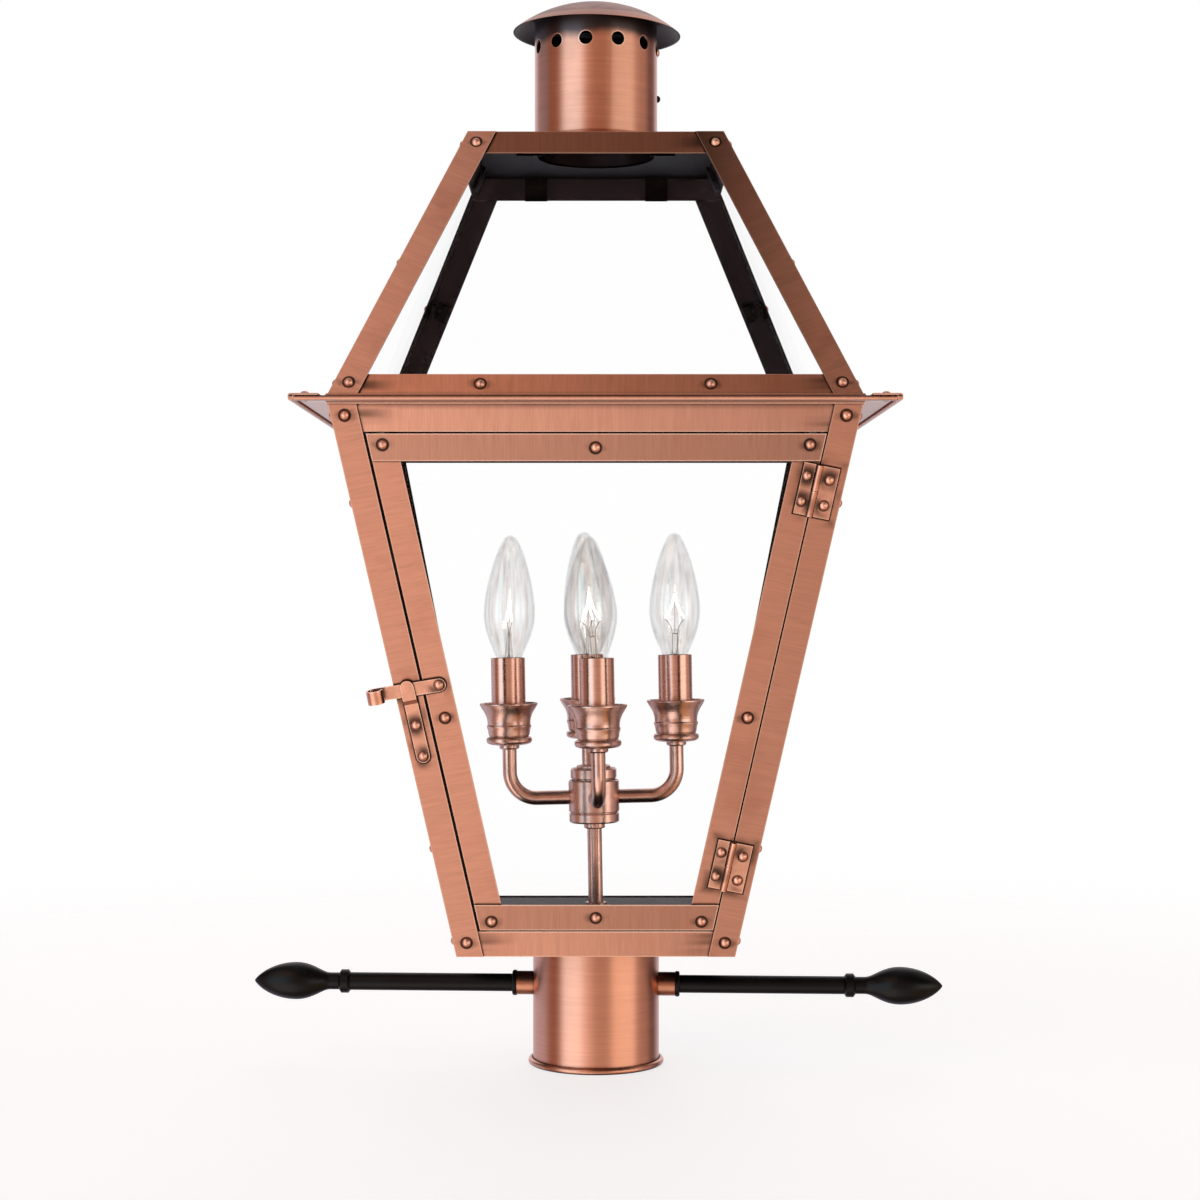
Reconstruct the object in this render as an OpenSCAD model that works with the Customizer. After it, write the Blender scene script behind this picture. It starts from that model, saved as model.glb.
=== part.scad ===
/* [Post fitter] */
// Diameter of the post that the lantern slips over
post_d = 76.2; // [70:0.1:90]
// Gap all round between the post and the fitter
post_gap = 1; // [0.5:0.1:2]
// Wall of the fitter tube
fitter_wall = 1.2; // [0.8:0.1:2]
// Height of the fitter tube
fitter_h = 80.2; // [76:0.1:110]
// Thickness of the rolled edge at the fitter's mouth
fitter_bead = 4; // [3:0.1:6]
// Diameter of the set screws
set_screw_d = 6; // [4:0.5:8]
// Height of the set screws above the mouth
set_screw_z = 24; // [18:1:32]
// Height of the nuts welded on the fitter for the set screws
screw_boss_h = 5; // [3:0.5:8]

/* [Ladder rest] */
// Height of the ladder rest above the fitter's mouth
ladder_z = 50.6; // [48:0.1:62]
// Angle by which the ladder rest is turned on the fitter
ladder_turn = 3; // [0:0.5:6]
// Diameter of the copper sockets
socket_d = 15; // [13:0.1:18]
// How far the sockets stand out of the fitter
socket_l = 10.2; // [9:0.1:14]
// Diameter of the lock rings
ring_d = 16.2; // [14:0.1:20]
// Thickness of the lock rings
ring_t = 3; // [2:0.1:5]
// Diameter of the rods
rod_d = 11.3; // [10:0.1:13]
// Length of the rods between the lock rings and the finials
rod_l = 104.5; // [80:0.5:140]
// Diameter of the spigots that the rods screw in with
spigot_d = 8; // [6:0.5:9]
// Diameter of the collars that the finials start with
finial_collar_d = 15; // [13:0.1:18]
// Greatest diameter of the finials
finial_d = 23.8; // [20:0.1:30]
// Length of the finials
finial_l = 62.2; // [55:0.1:75]

/* [Body] */
// Width of the body at its foot
body_foot_w = 168.4; // [160:0.1:190]
// Width of the body under the eave
body_head_w = 308.3; // [290:0.1:320]
// Height of the body
body_h = 330.2; // [310:0.1:350]
// Width of the straps
strap_w = 15.9; // [15:0.1:18]
// Thickness of the straps
strap_t = 1.2; // [1:0.1:1.6]
// Height of the rail under the eave
head_rail_h = 17.7; // [16:0.1:20]
// Thickness of the panes
glass_t = 2.4; // [2:0.1:3]
// How far the panes lap behind the straps
glass_lap = 5.2; // [4.6:0.1:5.4]
// Height of the floor above the body's foot
floor_rise = 15; // [12:0.1:15.4]
// Thickness of the floor tray and the bottom pan
pan_t = 1.2; // [1:0.1:2]
// Diameter of the wire hole in the bottom pan
wire_hole_d = 16; // [10:1:24]

/* [Rivets] */
// Diameter of the rivet heads
rivet_d = 5.6; // [4.8:0.1:6.4]
// Height of the rivet heads
rivet_h = 1.9; // [1.4:0.1:2.4]
// Diameter of the rivet shanks
shank_d = 2.8; // [2:0.1:3]
// Gap all round between a rivet shank and its hole
shank_gap = 0.05; // [0.02:0.01:0.1]
// Thickness of the clips that hold the panes
clip_t = 0.8; // [0.6:0.1:1]
// Width of the clips that hold the panes
clip_w = 12; // [8:1:14]

/* [Eave] */
// Width of the eave
eave_w = 348; // [342:0.5:370]
// Thickness of the eave strips
eave_t = 1.2; // [1:0.1:1.6]
// Thickness of the hem round the eave
hem_d = 3.2; // [2.8:0.1:4]
// Width of the eave strips inside the body
eave_inside = 9; // [7:0.5:14]
// Thickness of the lips that grip the body and the roof
lip_t = 0.9; // [0.6:0.1:1.2]
// Height of the lip that grips the roof
lip_up = 2.7; // [2:0.1:4]
// Height of the lip that grips the body
lip_down = 2; // [1.5:0.1:3]
// Width of the laps at the eave's corners
eave_lap = 17; // [15:0.5:17.5]

/* [Roof] */
// Width of the roof at its foot
roof_foot_w = 310; // [292:0.5:322]
// Width of the roof at its top
roof_top_w = 155.4; // [140:0.1:170]
// Height of the roof
roof_h = 168.8; // [150:0.1:190]
// How far the roof panes lap behind the base rails
base_lap = 3.4; // [3:0.1:3.6]
// Distance from the middle to the rivets of the base rails
base_rivet_x = 66.4; // [50:0.1:80]
// Distance from the middle to the tabs of the roof plate
tab_x = 40.5; // [30:0.5:50]
// Width of the tabs of the roof plate
tab_w = 15; // [10:0.5:18]

/* [Chimney] */
// Diameter of the chimney
chimney_d = 78.3; // [70:0.1:90]
// Wall of the chimney
chimney_wall = 1; // [0.8:0.1:1.5]
// Height of the foot ring round the chimney
foot_ring_h = 9.3; // [7:0.1:12]
// Thickness of the foot ring round the chimney
foot_ring_t = 0.6; // [0.4:0.1:1]
// Diameter of the vents
vent_d = 8.5; // [6:0.1:10]
// Number of vents
vent_count = 12; // [8:1:14]
// Angle from the front to the first vent
vent_turn = -9.3; // [-15:0.1:15]
// Height of the vents above the roof
vent_z = 66.5; // [60:0.1:68]
// Height of the dome-headed screw above the roof
dome_screw_z = 37; // [25:1:48]
// Width of the rain cap
cap_d = 107; // [100:0.5:120]
// Height of the rain cap's dome
cap_h = 19; // [16:0.5:22]
// Height of the rain cap's rim above the roof
cap_rim_z = 77.2; // [76:0.1:90]
// Thickness of the rain cap
cap_t = 1; // [0.8:0.1:1.5]
// Angle by which the rain cap sits out of level
cap_tilt = 1.5; // [0:0.1:2]
// Distance by which the rain cap sits left of the middle
cap_shift = 1.2; // [0:0.1:2]

/* [Door] */
// Gap between the door and the post at the latch
door_gap_latch = 1.8; // [1.4:0.1:2.4]
// Gap between the door and the post at the hinges
door_gap_hinge = 1; // [0.8:0.1:1.4]
// Gap between the door and the rails above and below it
door_gap_rail = 1.3; // [0.8:0.1:2]
// How far the stop on the left post reaches behind the door
stop_lap = 3.5; // [2:0.1:4]
// How far the strip on the hinge side reaches behind the closed door
hinge_stop_lap = 2; // [1:0.1:3]
// Gap between the closed door and its stop
stop_gap = 0.35; // [0.3:0.05:0.5]

/* [Hinges] */
// Distance from the eave down to the upper hinge's middle
hinge_drop = 51.3; // [46:0.1:70]
// Distance from the body's foot up to the lower hinge's middle
hinge_rise = 56.4; // [52:0.1:90]
// Length of a hinge
hinge_l = 30.4; // [26:0.1:36]
// Diameter of the knuckles
knuckle_d = 3.8; // [3.4:0.1:4.6]
// Diameter of the hinge pins
pin_d = 1.8; // [1.4:0.1:2]
// Gap all round between a pin and its knuckle
pin_gap = 0.05; // [0.02:0.01:0.1]
// Thickness of the hinge leaves
leaf_t = 0.9; // [0.7:0.1:1.1]
// Width of the leaf on the post, from the pin
post_leaf_w = 11.8; // [11:0.1:13]
// Width of the leaf on the door, from the pin
door_leaf_w = 9.2; // [9:0.1:12]

/* [Latch] */
// Height of the lever's pivot above the body's foot
latch_rise = 165.8; // [156:0.1:176]
// Distance from the lever's pivot down to the rivet of the stile's clip
latch_clip_drop = 19.85; // [18:0.05:24]
// Distance from the lever's pivot down to the keeper's lower rivet
keeper_drop = 42.6; // [41:0.1:44]
// Width of the lever and of the keeper
latch_w = 8; // [7:0.1:9]
// Thickness of the lever and of the keeper
latch_t = 1.2; // [1:0.1:1.4]
// Length of the lever from the pivot to the middle of its scroll
lever_l = 37.6; // [34:0.1:42]
// Diameter of the lever's scroll
scroll_d = 10; // [8:0.1:12]
// Angle by which the lever droops at rest
lever_droop = 9.5; // [8:0.1:12]
// Distance from the middle of the stile to the lever's pivot, towards the glass
latch_shift = 1; // [0:0.1:2]
// Gap between the lever and what it slides past
lever_gap = 0.3; // [0.3:0.05:0.5]
// Gap all round between the lever and its pivot
pivot_gap = 0.05; // [0.02:0.01:0.1]
// Length of the keeper above its lower rivet
keeper_l = 47.2; // [45:0.1:50]

/* [Candle cluster] */
// Angle by which the cluster is turned
cluster_turn = 3.5; // [0:0.5:8]
// Angle by which the cluster leans to the left
cluster_lean = 1; // [0:0.1:1.2]
// Diameter of the stem
stem_d = 9.35; // [8:0.05:10]
// Height of the hub's underside above the floor
hub_z = 54.8; // [45:0.1:70]
// Diameter of the hub
hub_d = 32.4; // [28:0.1:36]
// Height of the hub's drum
hub_h = 21; // [19:0.1:26]
// Diameter of the arms
arm_d = 9; // [8:0.1:10]
// Wall of the arms and the stem
tube_wall = 1; // [0.8:0.1:1.4]
// Distance from the stem to the candles
arm_reach = 53.5; // [50:0.5:62]
// Radius of the bends of the arms
arm_bend = 17; // [14:0.5:20]
// Height from the arms' level run to the cups
arm_rise = 31.7; // [30:0.1:40]
// Width of the cups
cup_d = 37; // [34:0.1:40]
// Height of the cups
cup_h = 29.4; // [27:0.1:33]
// Diameter of the candle sleeves
sleeve_d = 21.8; // [20:0.1:22.6]
// Wall of the candle sleeves
sleeve_wall = 0.9; // [0.7:0.1:1.2]
// Length of the candle sleeves
sleeve_l = 44.4; // [40:0.1:60]

/* [Bulbs] */
// Greatest diameter of the bulbs
bulb_d = 32.6; // [28:0.1:35]
// Length of the bulbs' glass
bulb_l = 84.5; // [70:0.5:95]
// Wall of the bulbs' glass
bulb_wall = 0.7; // [0.5:0.1:1]
// Diameter of the bulbs' screw bases
base_d = 11.5; // [11:0.1:12]
// Length of the bulbs' screw bases
base_l = 20; // [17:0.5:22]
// Angles by which the bulbs lean to the right, from the front one round to the left one
bulb_leans = [-4, 0.6, 1.8, 1.8]; // [-4.2:0.1:4.2]
// Angles by which the bulbs are turned, from the front one round to the left one
bulb_turns = [20, 0, 60, 75]; // [0:5:180]
// Gap all round between a bulb's base and its socket
socket_gap = 0.9; // [0.85:0.05:1.2]

/* [Hidden] */
$fn = 64;
SIDES = ["front_right", "rear_right", "rear_left", "front_left"];

copper = [0.80, 0.50, 0.38];
dark_copper = [0.45, 0.24, 0.18];
black = [0.09, 0.08, 0.08];
clear = [0.85, 0.92, 0.94, 0.3];
brass = [0.78, 0.62, 0.32];
glow = [1.0, 0.93, 0.78];

// Allowance that keeps cutting tools clear of the faces that they cut
over = 1;
// Gap between solids that lie side by side without touching
slack = 0.2;

// Radius of the fitter's bore and of its outside
fitter_bore_r = post_d / 2 + post_gap;
fitter_r = fitter_bore_r + fitter_wall;

// Heights of the body's foot, the floor, the eave, the roof's foot and the roof's top
foot_z = fitter_h;
floor_z = foot_z + floor_rise;
eave_z = foot_z + body_h;
roof_z = eave_z + eave_t;
top_z = roof_z + roof_h;

// A flared face is a list of the height, the half width there and the growth of the half width
// for each millimetre of height
body_face = [foot_z, body_foot_w / 2, (body_head_w - body_foot_w) / 2 / body_h];
roof_face = [roof_z, roof_foot_w / 2, (roof_top_w - roof_foot_w) / 2 / roof_h];

// Half width of a flared face at a height
function half_at(face, z) = face[1] + face[2] * (z - face[0]);
// Angle between a flared face and the vertical
function lean(face) = atan(face[2]);
// Angle, in the face, between its corner and its fall line
function corner_lean(face) = atan(sin(lean(face)));
// Level distance across a depth that is measured square to the face
function level(face, depth) = depth / cos(lean(face));
// Level distance across a width that is measured square to the corner
function across(face, width) = width / cos(corner_lean(face));
// How far the cut side of a pane leans out of square over a depth
function side_lean(face, depth) = depth * abs(face[2] * sin(lean(face)));
// Upright distance along a length that is measured up the face
function upright(face, length) = length * cos(lean(face));

// Points of a smooth curve from a to d, drawn towards b and c
function curve(a, b, c, d, steps) = [
    for (i = [1:steps])
        let (t = i / steps, u = 1 - t)
            u * u * u * a + 3 * u * u * t * b + 3 * u * t * t * c + t * t * t * d
];

// Upright edges of the rails
foot_rail_z = [foot_z, foot_z + upright(body_face, strap_w)];
head_rail_z = [eave_z - head_rail_h, eave_z];
base_rail_z = [roof_z, roof_z + upright(roof_face, strap_w)];
top_rail_z = [top_z - upright(roof_face, strap_w), top_z];

// Depths of the layers behind the outer faces
post_layer = [0, strap_t];
rail_layer = [strap_t, 2 * strap_t];
pane_layer = [2 * strap_t, 2 * strap_t + glass_t];

// Bounds of the door
door_z = [foot_rail_z[1] + door_gap_rail, head_rail_z[0] - door_gap_rail];
door_rail_h = upright(body_face, strap_w);
door_pane_z = [
    door_z[0] + upright(body_face, strap_w - glass_lap),
    door_z[1] - upright(body_face, strap_w - glass_lap)
];
door_pane_layer = [strap_t, strap_t + glass_t];
function door_left(z) = -(half_at(body_face, z) - across(body_face, strap_w) - door_gap_latch);
function door_right(z) = half_at(body_face, z) - across(body_face, strap_w) - door_gap_hinge;

// Heights of the rivets in the corner posts, the hips and the pane clips
post_rivet_z = [foot_z + strap_w * 0.55, eave_z - strap_w * 0.54];
hip_rivet_z = [roof_z + strap_w * 0.6, top_z - strap_w * 0.45];
post_clip_z = [foot_z + body_h * 0.2, eave_z - body_h * 0.177];
hip_clip_z = [roof_z + roof_h / 2];
latch_z = foot_z + latch_rise;
stile_clip_z = [latch_z - latch_clip_drop];
base_rivet_z = roof_z + upright(roof_face, strap_w - base_lap - slack - clip_t - shank_d / 2 - shank_gap);

// A slab of a front face between two heights and two depths, with sloping ends
module panel(face, z, depth, left, right) {
    reach = 2 * max(half_at(face, z[0]), half_at(face, z[1]));
    outer = [for (i = [0, 1]) level(face, depth[0]) - half_at(face, z[i])];
    inner = [for (i = [0, 1]) level(face, depth[1]) - half_at(face, z[i])];
    intersection() {
        translate([-reach, 0, 0]) rotate([90, 0, 90]) linear_extrude(2 * reach)
            polygon([[outer[0], z[0]], [inner[0], z[0]], [inner[1], z[1]], [outer[1], z[1]]]);
        rotate([90, 0, 0]) linear_extrude(reach)
            polygon([[left[0], z[0]], [right[0], z[0]], [right[1], z[1]], [left[1], z[1]]]);
    }
}

// A slab whose ends stand a level distance inside the corners of its face
module centred_panel(face, z, depth, inset) {
    ends = [for (i = [0, 1]) half_at(face, z[i]) - inset];
    panel(face, z, depth, -ends, ends);
}

// An angle strap up the corner between the front face and the right face
module corner_angle(face, z) {
    flange = across(face, strap_w);
    corner = [for (i = [0, 1]) half_at(face, z[i])];
    panel(face, z, post_layer, corner - [flange, flange], corner);
    rotate([0, 0, 90]) panel(face, z, post_layer, -corner, [flange, flange] - corner);
}

// Four rails round a flared face, the side ones butting against the front and rear ones
module rails(face, z) {
    for (turn = [0:3])
        rotate([0, 0, 90 * turn])
            centred_panel(face, z, rail_layer, level(face, rail_layer[turn % 2]));
}

// A pane behind the straps of a side
module pane(face, turn, z) {
    rotate([0, 0, 90 * turn])
        centred_panel(face, z, pane_layer, across(face, strap_w - glass_lap));
}

// Puts its children on the front face: x to the right, y inwards, z up the face
module on_face(face, x, z) {
    translate([x, -half_at(face, z), z]) rotate([lean(face), 0, 0]) children();
}

// Puts its children on the middle of the corner straps: x towards the glass, z up the strap
module on_straps(face, turns, sides, heights) {
    for (turn = turns, side = sides, z = heights)
        rotate([0, 0, 90 * turn])
            on_face(face, side * (half_at(face, z) - across(face, strap_w) / 2), z)
                mirror([side > 0 ? 1 : 0, 0, 0]) rotate([0, -corner_lean(face), 0]) children();
}

// Puts its children on the base rails of the roof: x towards the glass
module on_base_rails(turns) {
    for (turn = turns, side = [-1, 1])
        rotate([0, 0, 90 * turn])
            on_face(roof_face, side * base_rivet_x, base_rivet_z) rotate([0, -90, 0]) children();
}

// A domed head on the plane z = 0
module dome(width, height) {
    radius = (height * height + width * width / 4) / 2 / height;
    intersection() {
        translate([0, 0, height - radius]) sphere(radius);
        cylinder(h = height + over, d = width + over);
    }
}

// A rivet that stands on a plane a distance in front of the face and reaches in by its grip
module rivet(lift, grip) {
    translate([0, -lift, 0]) rotate([90, 0, 0]) {
        dome(rivet_d, rivet_h);
        translate([0, 0, -grip]) cylinder(h = grip + rivet_h / 2, d = shank_d);
    }
}

// The hole for a rivet, through everything near the face
module rivet_hole() {
    translate([0, pane_layer[0] + 2 * clip_t, 0]) rotate([90, 0, 0])
        cylinder(h = pane_layer[0] + 2 * clip_t + 3 * strap_t, d = shank_d + 2 * shank_gap);
}

// A bent clip from its rivet to the inner side of a pane: x towards the glass
module clip(edge, back, pane_back) {
    difference() {
        translate([0, 0, -clip_w / 2]) linear_extrude(clip_w) polygon([
            [-shank_d, back], [edge, back], [edge, pane_back], [edge + 3 * clip_t + over, pane_back],
            [edge + 3 * clip_t + over, pane_back + clip_t], [edge - clip_t, pane_back + clip_t],
            [edge - clip_t, back + clip_t], [-shank_d, back + clip_t]
        ]);
        rivet_hole();
    }
}

// Fitter and ladder rest

screw_turns = [-145, 145];

// Puts its children at the set screws, z out of the tube's axis
module at_set_screws() {
    for (turn = screw_turns)
        rotate([0, 0, turn]) translate([0, 0, set_screw_z]) rotate([90, 0, 0]) children();
}

module post_fitter() {
    bead_r = fitter_bead / 2;
    color(copper) difference() {
        union() {
            cylinder(h = fitter_h, r = fitter_r);
            rotate_extrude() translate([fitter_bore_r + bead_r + slack, bead_r]) circle(bead_r);
            at_set_screws() cylinder(h = fitter_r + screw_boss_h, d = 2 * set_screw_d);
        }
        translate([0, 0, -over]) cylinder(h = fitter_h + 2 * over, r = fitter_bore_r);
        at_set_screws() cylinder(h = fitter_r + 2 * screw_boss_h, d = set_screw_d + 2 * shank_gap);
    }
}

module set_screws() {
    head_h = set_screw_d * 0.6;
    color(dark_copper) at_set_screws() difference() {
        union() {
            translate([0, 0, fitter_bore_r + slack])
                cylinder(h = fitter_wall + screw_boss_h + head_h - slack, d = set_screw_d);
            translate([0, 0, fitter_r + screw_boss_h]) cylinder(h = head_h, d = set_screw_d * 1.6);
        }
        translate([-set_screw_d, -set_screw_d / 10, fitter_r + screw_boss_h + head_h / 2])
            cube([2 * set_screw_d, set_screw_d / 5, head_h]);
    }
}

// Places along the arms of the ladder rest, from the fitter's axis
ring_x = fitter_r + socket_l;
rod_x = ring_x + ring_t;
finial_x = rod_x + rod_l;
spigot_x = fitter_r + socket_l / 4;

// Puts its children on both arms of the ladder rest, z outwards
module on_arms() {
    for (turn = [0, 180])
        rotate([0, 0, turn - ladder_turn]) translate([0, 0, ladder_z]) rotate([0, 90, 0]) children();
}

module ladder_sockets() {
    color(copper) on_arms() difference() {
        cylinder(h = ring_x, d = socket_d);
        translate([0, 0, spigot_x]) cylinder(h = socket_l, d = spigot_d + 2 * shank_gap);
        rotate([0, -90, 0]) cylinder(h = 2 * socket_d, r = fitter_r + shank_gap, center = true);
    }
}

module ladder_rings() {
    round_r = ring_t / 3;
    color(black) on_arms() translate([0, 0, ring_x]) rotate_extrude() {
        translate([spigot_d / 2 + shank_gap, 0]) square([ring_d / 2 - round_r - spigot_d / 2, ring_t]);
        translate([ring_d / 2 - round_r, round_r]) square([round_r, ring_t - 2 * round_r]);
        for (z = [round_r, ring_t - round_r])
            translate([ring_d / 2 - round_r, z]) circle(round_r);
    }
}

module ladder_rods() {
    color(black) on_arms() {
        translate([0, 0, rod_x]) cylinder(h = rod_l, d = rod_d);
        translate([0, 0, spigot_x]) cylinder(h = rod_x - spigot_x + over, d = spigot_d);
    }
}

module ladder_finials() {
    collar_l = 7.5;
    neck_r = finial_collar_d * 0.36;
    chamfer = finial_collar_d / 10;
    belly_z = finial_l * 0.57;
    neck_z = collar_l + 6;
    belly_pull = 11;
    tip = [0.7, finial_l];
    belly = [finial_d / 2, belly_z];
    outline = concat(
        [[0, 0], [neck_r, 0], [finial_collar_d / 2, chamfer], [finial_collar_d / 2, collar_l - chamfer]],
        [[neck_r, collar_l], [neck_r, neck_z]],
        curve([neck_r, neck_z], [neck_r, neck_z + 5], [finial_d / 2, belly_z - belly_pull], belly, 12),
        curve(belly, [finial_d / 2, belly_z + belly_pull], [finial_d * 0.3, finial_l - 5], tip, 14),
        [[0, finial_l]]
    );
    color(black) on_arms() translate([0, 0, finial_x]) rotate_extrude() polygon(outline);
}

// Body

tray_half = half_at(body_face, foot_z) - level(body_face, pane_layer[1]);

module bottom_pan() {
    half = half_at(body_face, foot_z) - level(body_face, rail_layer[1]);
    color(black) difference() {
        translate([-half, -half, foot_z]) cube([2 * half, 2 * half, pan_t]);
        translate([0, 0, foot_z - over]) cylinder(h = pan_t + 2 * over, d = wire_hole_d);
    }
}

module floor_tray() {
    skirt_z = foot_z + pan_t;
    inside = tray_half - pan_t;
    color(black) difference() {
        translate([-tray_half, -tray_half, skirt_z]) cube([2 * tray_half, 2 * tray_half, floor_z - skirt_z]);
        translate([-inside, -inside, skirt_z - over])
            cube([2 * inside, 2 * inside, floor_z - pan_t - skirt_z + over]);
        cylinder(h = floor_z + over, d = stem_d + 4 * slack);
    }
}

// A corner post, counted from the front right one round to the front left one
module corner_post(turn) {
    next = (turn + 1) % 4;
    color(copper) difference() {
        rotate([0, 0, 90 * turn]) corner_angle(body_face, [foot_z, eave_z]);
        on_straps(body_face, [turn], [1], post_rivet_z) rivet_hole();
        on_straps(body_face, [next], [-1], post_rivet_z) rivet_hole();
        if (turn != 0) on_straps(body_face, [turn], [1], post_clip_z) rivet_hole();
        if (next != 0) on_straps(body_face, [next], [-1], post_clip_z) rivet_hole();
        if (turn == 0) at_hinge_rivets(post_rivet_x) rivet_hole();
        if (next == 0) at_keeper_rivets() rivet_hole();
    }
}

module corner_post_front_right() { corner_post(0); }
module corner_post_rear_right() { corner_post(1); }
module corner_post_rear_left() { corner_post(2); }
module corner_post_front_left() { corner_post(3); }

module body_foot_rails() {
    color(copper) difference() {
        rails(body_face, foot_rail_z);
        on_straps(body_face, [0:3], [-1, 1], [post_rivet_z[0]]) rivet_hole();
    }
}

module body_head_rails() {
    color(copper) difference() {
        rails(body_face, head_rail_z);
        on_straps(body_face, [0:3], [-1, 1], [post_rivet_z[1]]) rivet_hole();
    }
}

body_pane_z = [
    foot_z + upright(body_face, strap_w - glass_lap) + slack,
    eave_z - head_rail_h + upright(body_face, glass_lap)
];

module body_glass_right() { color(clear) pane(body_face, 1, body_pane_z); }
module body_glass_rear() { color(clear) pane(body_face, 2, body_pane_z); }
module body_glass_left() { color(clear) pane(body_face, 3, body_pane_z); }

// Eave

hem_r = hem_d / 2;
eave_half = eave_w / 2;
eave_inner = half_at(body_face, eave_z) - eave_inside;
lap_half = eave_half - eave_lap;

// The lips of a strip, with their ends a level distance past the corners
module eave_lips(past) {
    centred_panel(roof_face, [roof_z, roof_z + lip_up], [-lip_t, 0], -past);
    centred_panel(body_face, [eave_z - lip_down, eave_z], [-lip_t, 0], -past);
}

// The plate and the hem of the front strip
module eave_strip(half_length, plate_half) {
    translate([-plate_half, hem_r - eave_half, eave_z])
        cube([2 * plate_half, eave_half - hem_r - eave_inner, eave_t]);
    translate([-half_length, hem_r - eave_half, roof_z - hem_r]) rotate([0, 90, 0])
        cylinder(h = 2 * half_length, r = hem_r);
}

// The raised end of a side strip, over the corner of the front or rear strip
module eave_corner() {
    x = eave_inner - over;
    translate([x, -eave_half + hem_r, roof_z]) cube([eave_half - x, eave_lap - hem_r, eave_t]);
    translate([x, -eave_half, roof_z - hem_r]) cube([eave_half - x, hem_d, eave_t]);
    translate([x, hem_r - eave_half, roof_z + eave_t - hem_r]) rotate([0, 90, 0])
        cylinder(h = eave_half - x, r = hem_r);
}

// Puts its children at the corners of the eave, on top of the laps
module at_eave_corners() {
    place = lap_half + eave_lap / 2;
    for (x = [-place, place], y = [-place, place])
        translate([x, y, roof_z + eave_t]) rotate([-90, 0, 0]) children();
}

module eave_front_and_rear() {
    color(copper) for (turn = [0, 2]) rotate([0, 0, 90 * turn]) difference() {
        union() {
            eave_strip(eave_half - hem_d - slack, eave_half - hem_d - slack);
            eave_lips(lip_t);
        }
        at_eave_corners() rivet_hole();
    }
}

module eave_sides() {
    color(copper) for (turn = [1, 3]) rotate([0, 0, 90 * turn]) difference() {
        union() {
            eave_strip(eave_half, eave_inner);
            eave_lips(0);
            for (side = [0, 1]) mirror([side, 0, 0]) eave_corner();
        }
        at_eave_corners() rivet_hole();
    }
}

// Roof

// A hip, counted from the front right one round to the front left one
module hip(turn) {
    next = (turn + 1) % 4;
    color(copper) difference() {
        rotate([0, 0, 90 * turn]) corner_angle(roof_face, [roof_z, top_z]);
        on_straps(roof_face, [turn], [1], hip_rivet_z) rivet_hole();
        on_straps(roof_face, [next], [-1], hip_rivet_z) rivet_hole();
        if (turn != 0) on_straps(roof_face, [turn], [1], hip_clip_z) rivet_hole();
        if (next != 0) on_straps(roof_face, [next], [-1], hip_clip_z) rivet_hole();
    }
}

module hip_front_right() { hip(0); }
module hip_rear_right() { hip(1); }
module hip_rear_left() { hip(2); }
module hip_front_left() { hip(3); }

module roof_base_rails() {
    color(dark_copper) difference() {
        rails(roof_face, base_rail_z);
        on_straps(roof_face, [0:3], [-1, 1], [hip_rivet_z[0]]) rivet_hole();
        on_base_rails([0:3]) rivet_hole();
    }
}

module roof_top_rails() {
    color(dark_copper) difference() {
        rails(roof_face, top_rail_z);
        on_straps(roof_face, [0:3], [-1, 1], [hip_rivet_z[1]]) rivet_hole();
    }
}

roof_pane_z = [
    base_rail_z[1] - upright(roof_face, base_lap),
    top_z - pan_t - slack
];

module roof_glass_front() { color(clear) pane(roof_face, 0, roof_pane_z); }
module roof_glass_right() { color(clear) pane(roof_face, 1, roof_pane_z); }
module roof_glass_rear() { color(clear) pane(roof_face, 2, roof_pane_z); }
module roof_glass_left() { color(clear) pane(roof_face, 3, roof_pane_z); }

// The plate on the roof, with folded tabs that hold the tops of the panes
module roof_plate() {
    half = half_at(roof_face, top_z) - level(roof_face, rail_layer[1]) - slack;
    tab_z = [top_rail_z[0] - over, top_z - pan_t / 2];
    tab_layer = [pane_layer[1], pane_layer[1] + clip_t];
    color(black) difference() {
        union() {
            translate([-half, -half, top_z - pan_t]) cube([2 * half, 2 * half, pan_t]);
            for (turn = [0:3], side = [-1, 1])
                rotate([0, 0, 90 * turn]) panel(
                    roof_face, tab_z, tab_layer,
                    [1, 1] * (side * tab_x - tab_w / 2), [1, 1] * (side * tab_x + tab_w / 2)
                );
        }
        translate([0, 0, top_z - over - pan_t])
            cylinder(h = pan_t + 2 * over, r = chimney_d / 2 - chimney_wall - over);
    }
}

// A folded strip behind the left post that the door closes on, for a gap beside the door
module door_stop(gap, lap, seat) {
    z = [foot_rail_z[1] + slack, head_rail_z[0] - slack];
    post_edge = [for (i = [0, 1]) across(body_face, strap_w) - half_at(body_face, z[i])];
    jog = stop_gap + clip_t;
    panel(body_face, z, [strap_t, strap_t + clip_t], post_edge - [seat, seat], post_edge);
    panel(body_face, z, [strap_t + stop_gap, strap_t + stop_gap + clip_t], post_edge - [jog, jog],
        post_edge + (gap + lap) * [1, 1]);
}

// The clips behind the straps of the body and the roof, and the stops of the door on both sides
module glass_clips() {
    edge = strap_w / 2 - glass_lap - slack;
    pane_back = pane_layer[1];
    base_edge = shank_d / 2 + shank_gap + clip_t;
    color(black) {
        on_straps(body_face, [1:3], [-1, 1], post_clip_z)
            clip(edge - side_lean(body_face, pane_back), strap_t, pane_back);
        on_straps(roof_face, [1:3], [-1, 1], hip_clip_z)
            clip(edge - side_lean(roof_face, pane_back), strap_t, pane_back);
        on_base_rails([0:3]) clip(base_edge, rail_layer[1], pane_back);
        door_stop(door_gap_latch, stop_lap, strap_w * 0.35);
        mirror([1, 0, 0]) door_stop(door_gap_hinge, hinge_stop_lap, strap_w * 0.22);
    }
}

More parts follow.
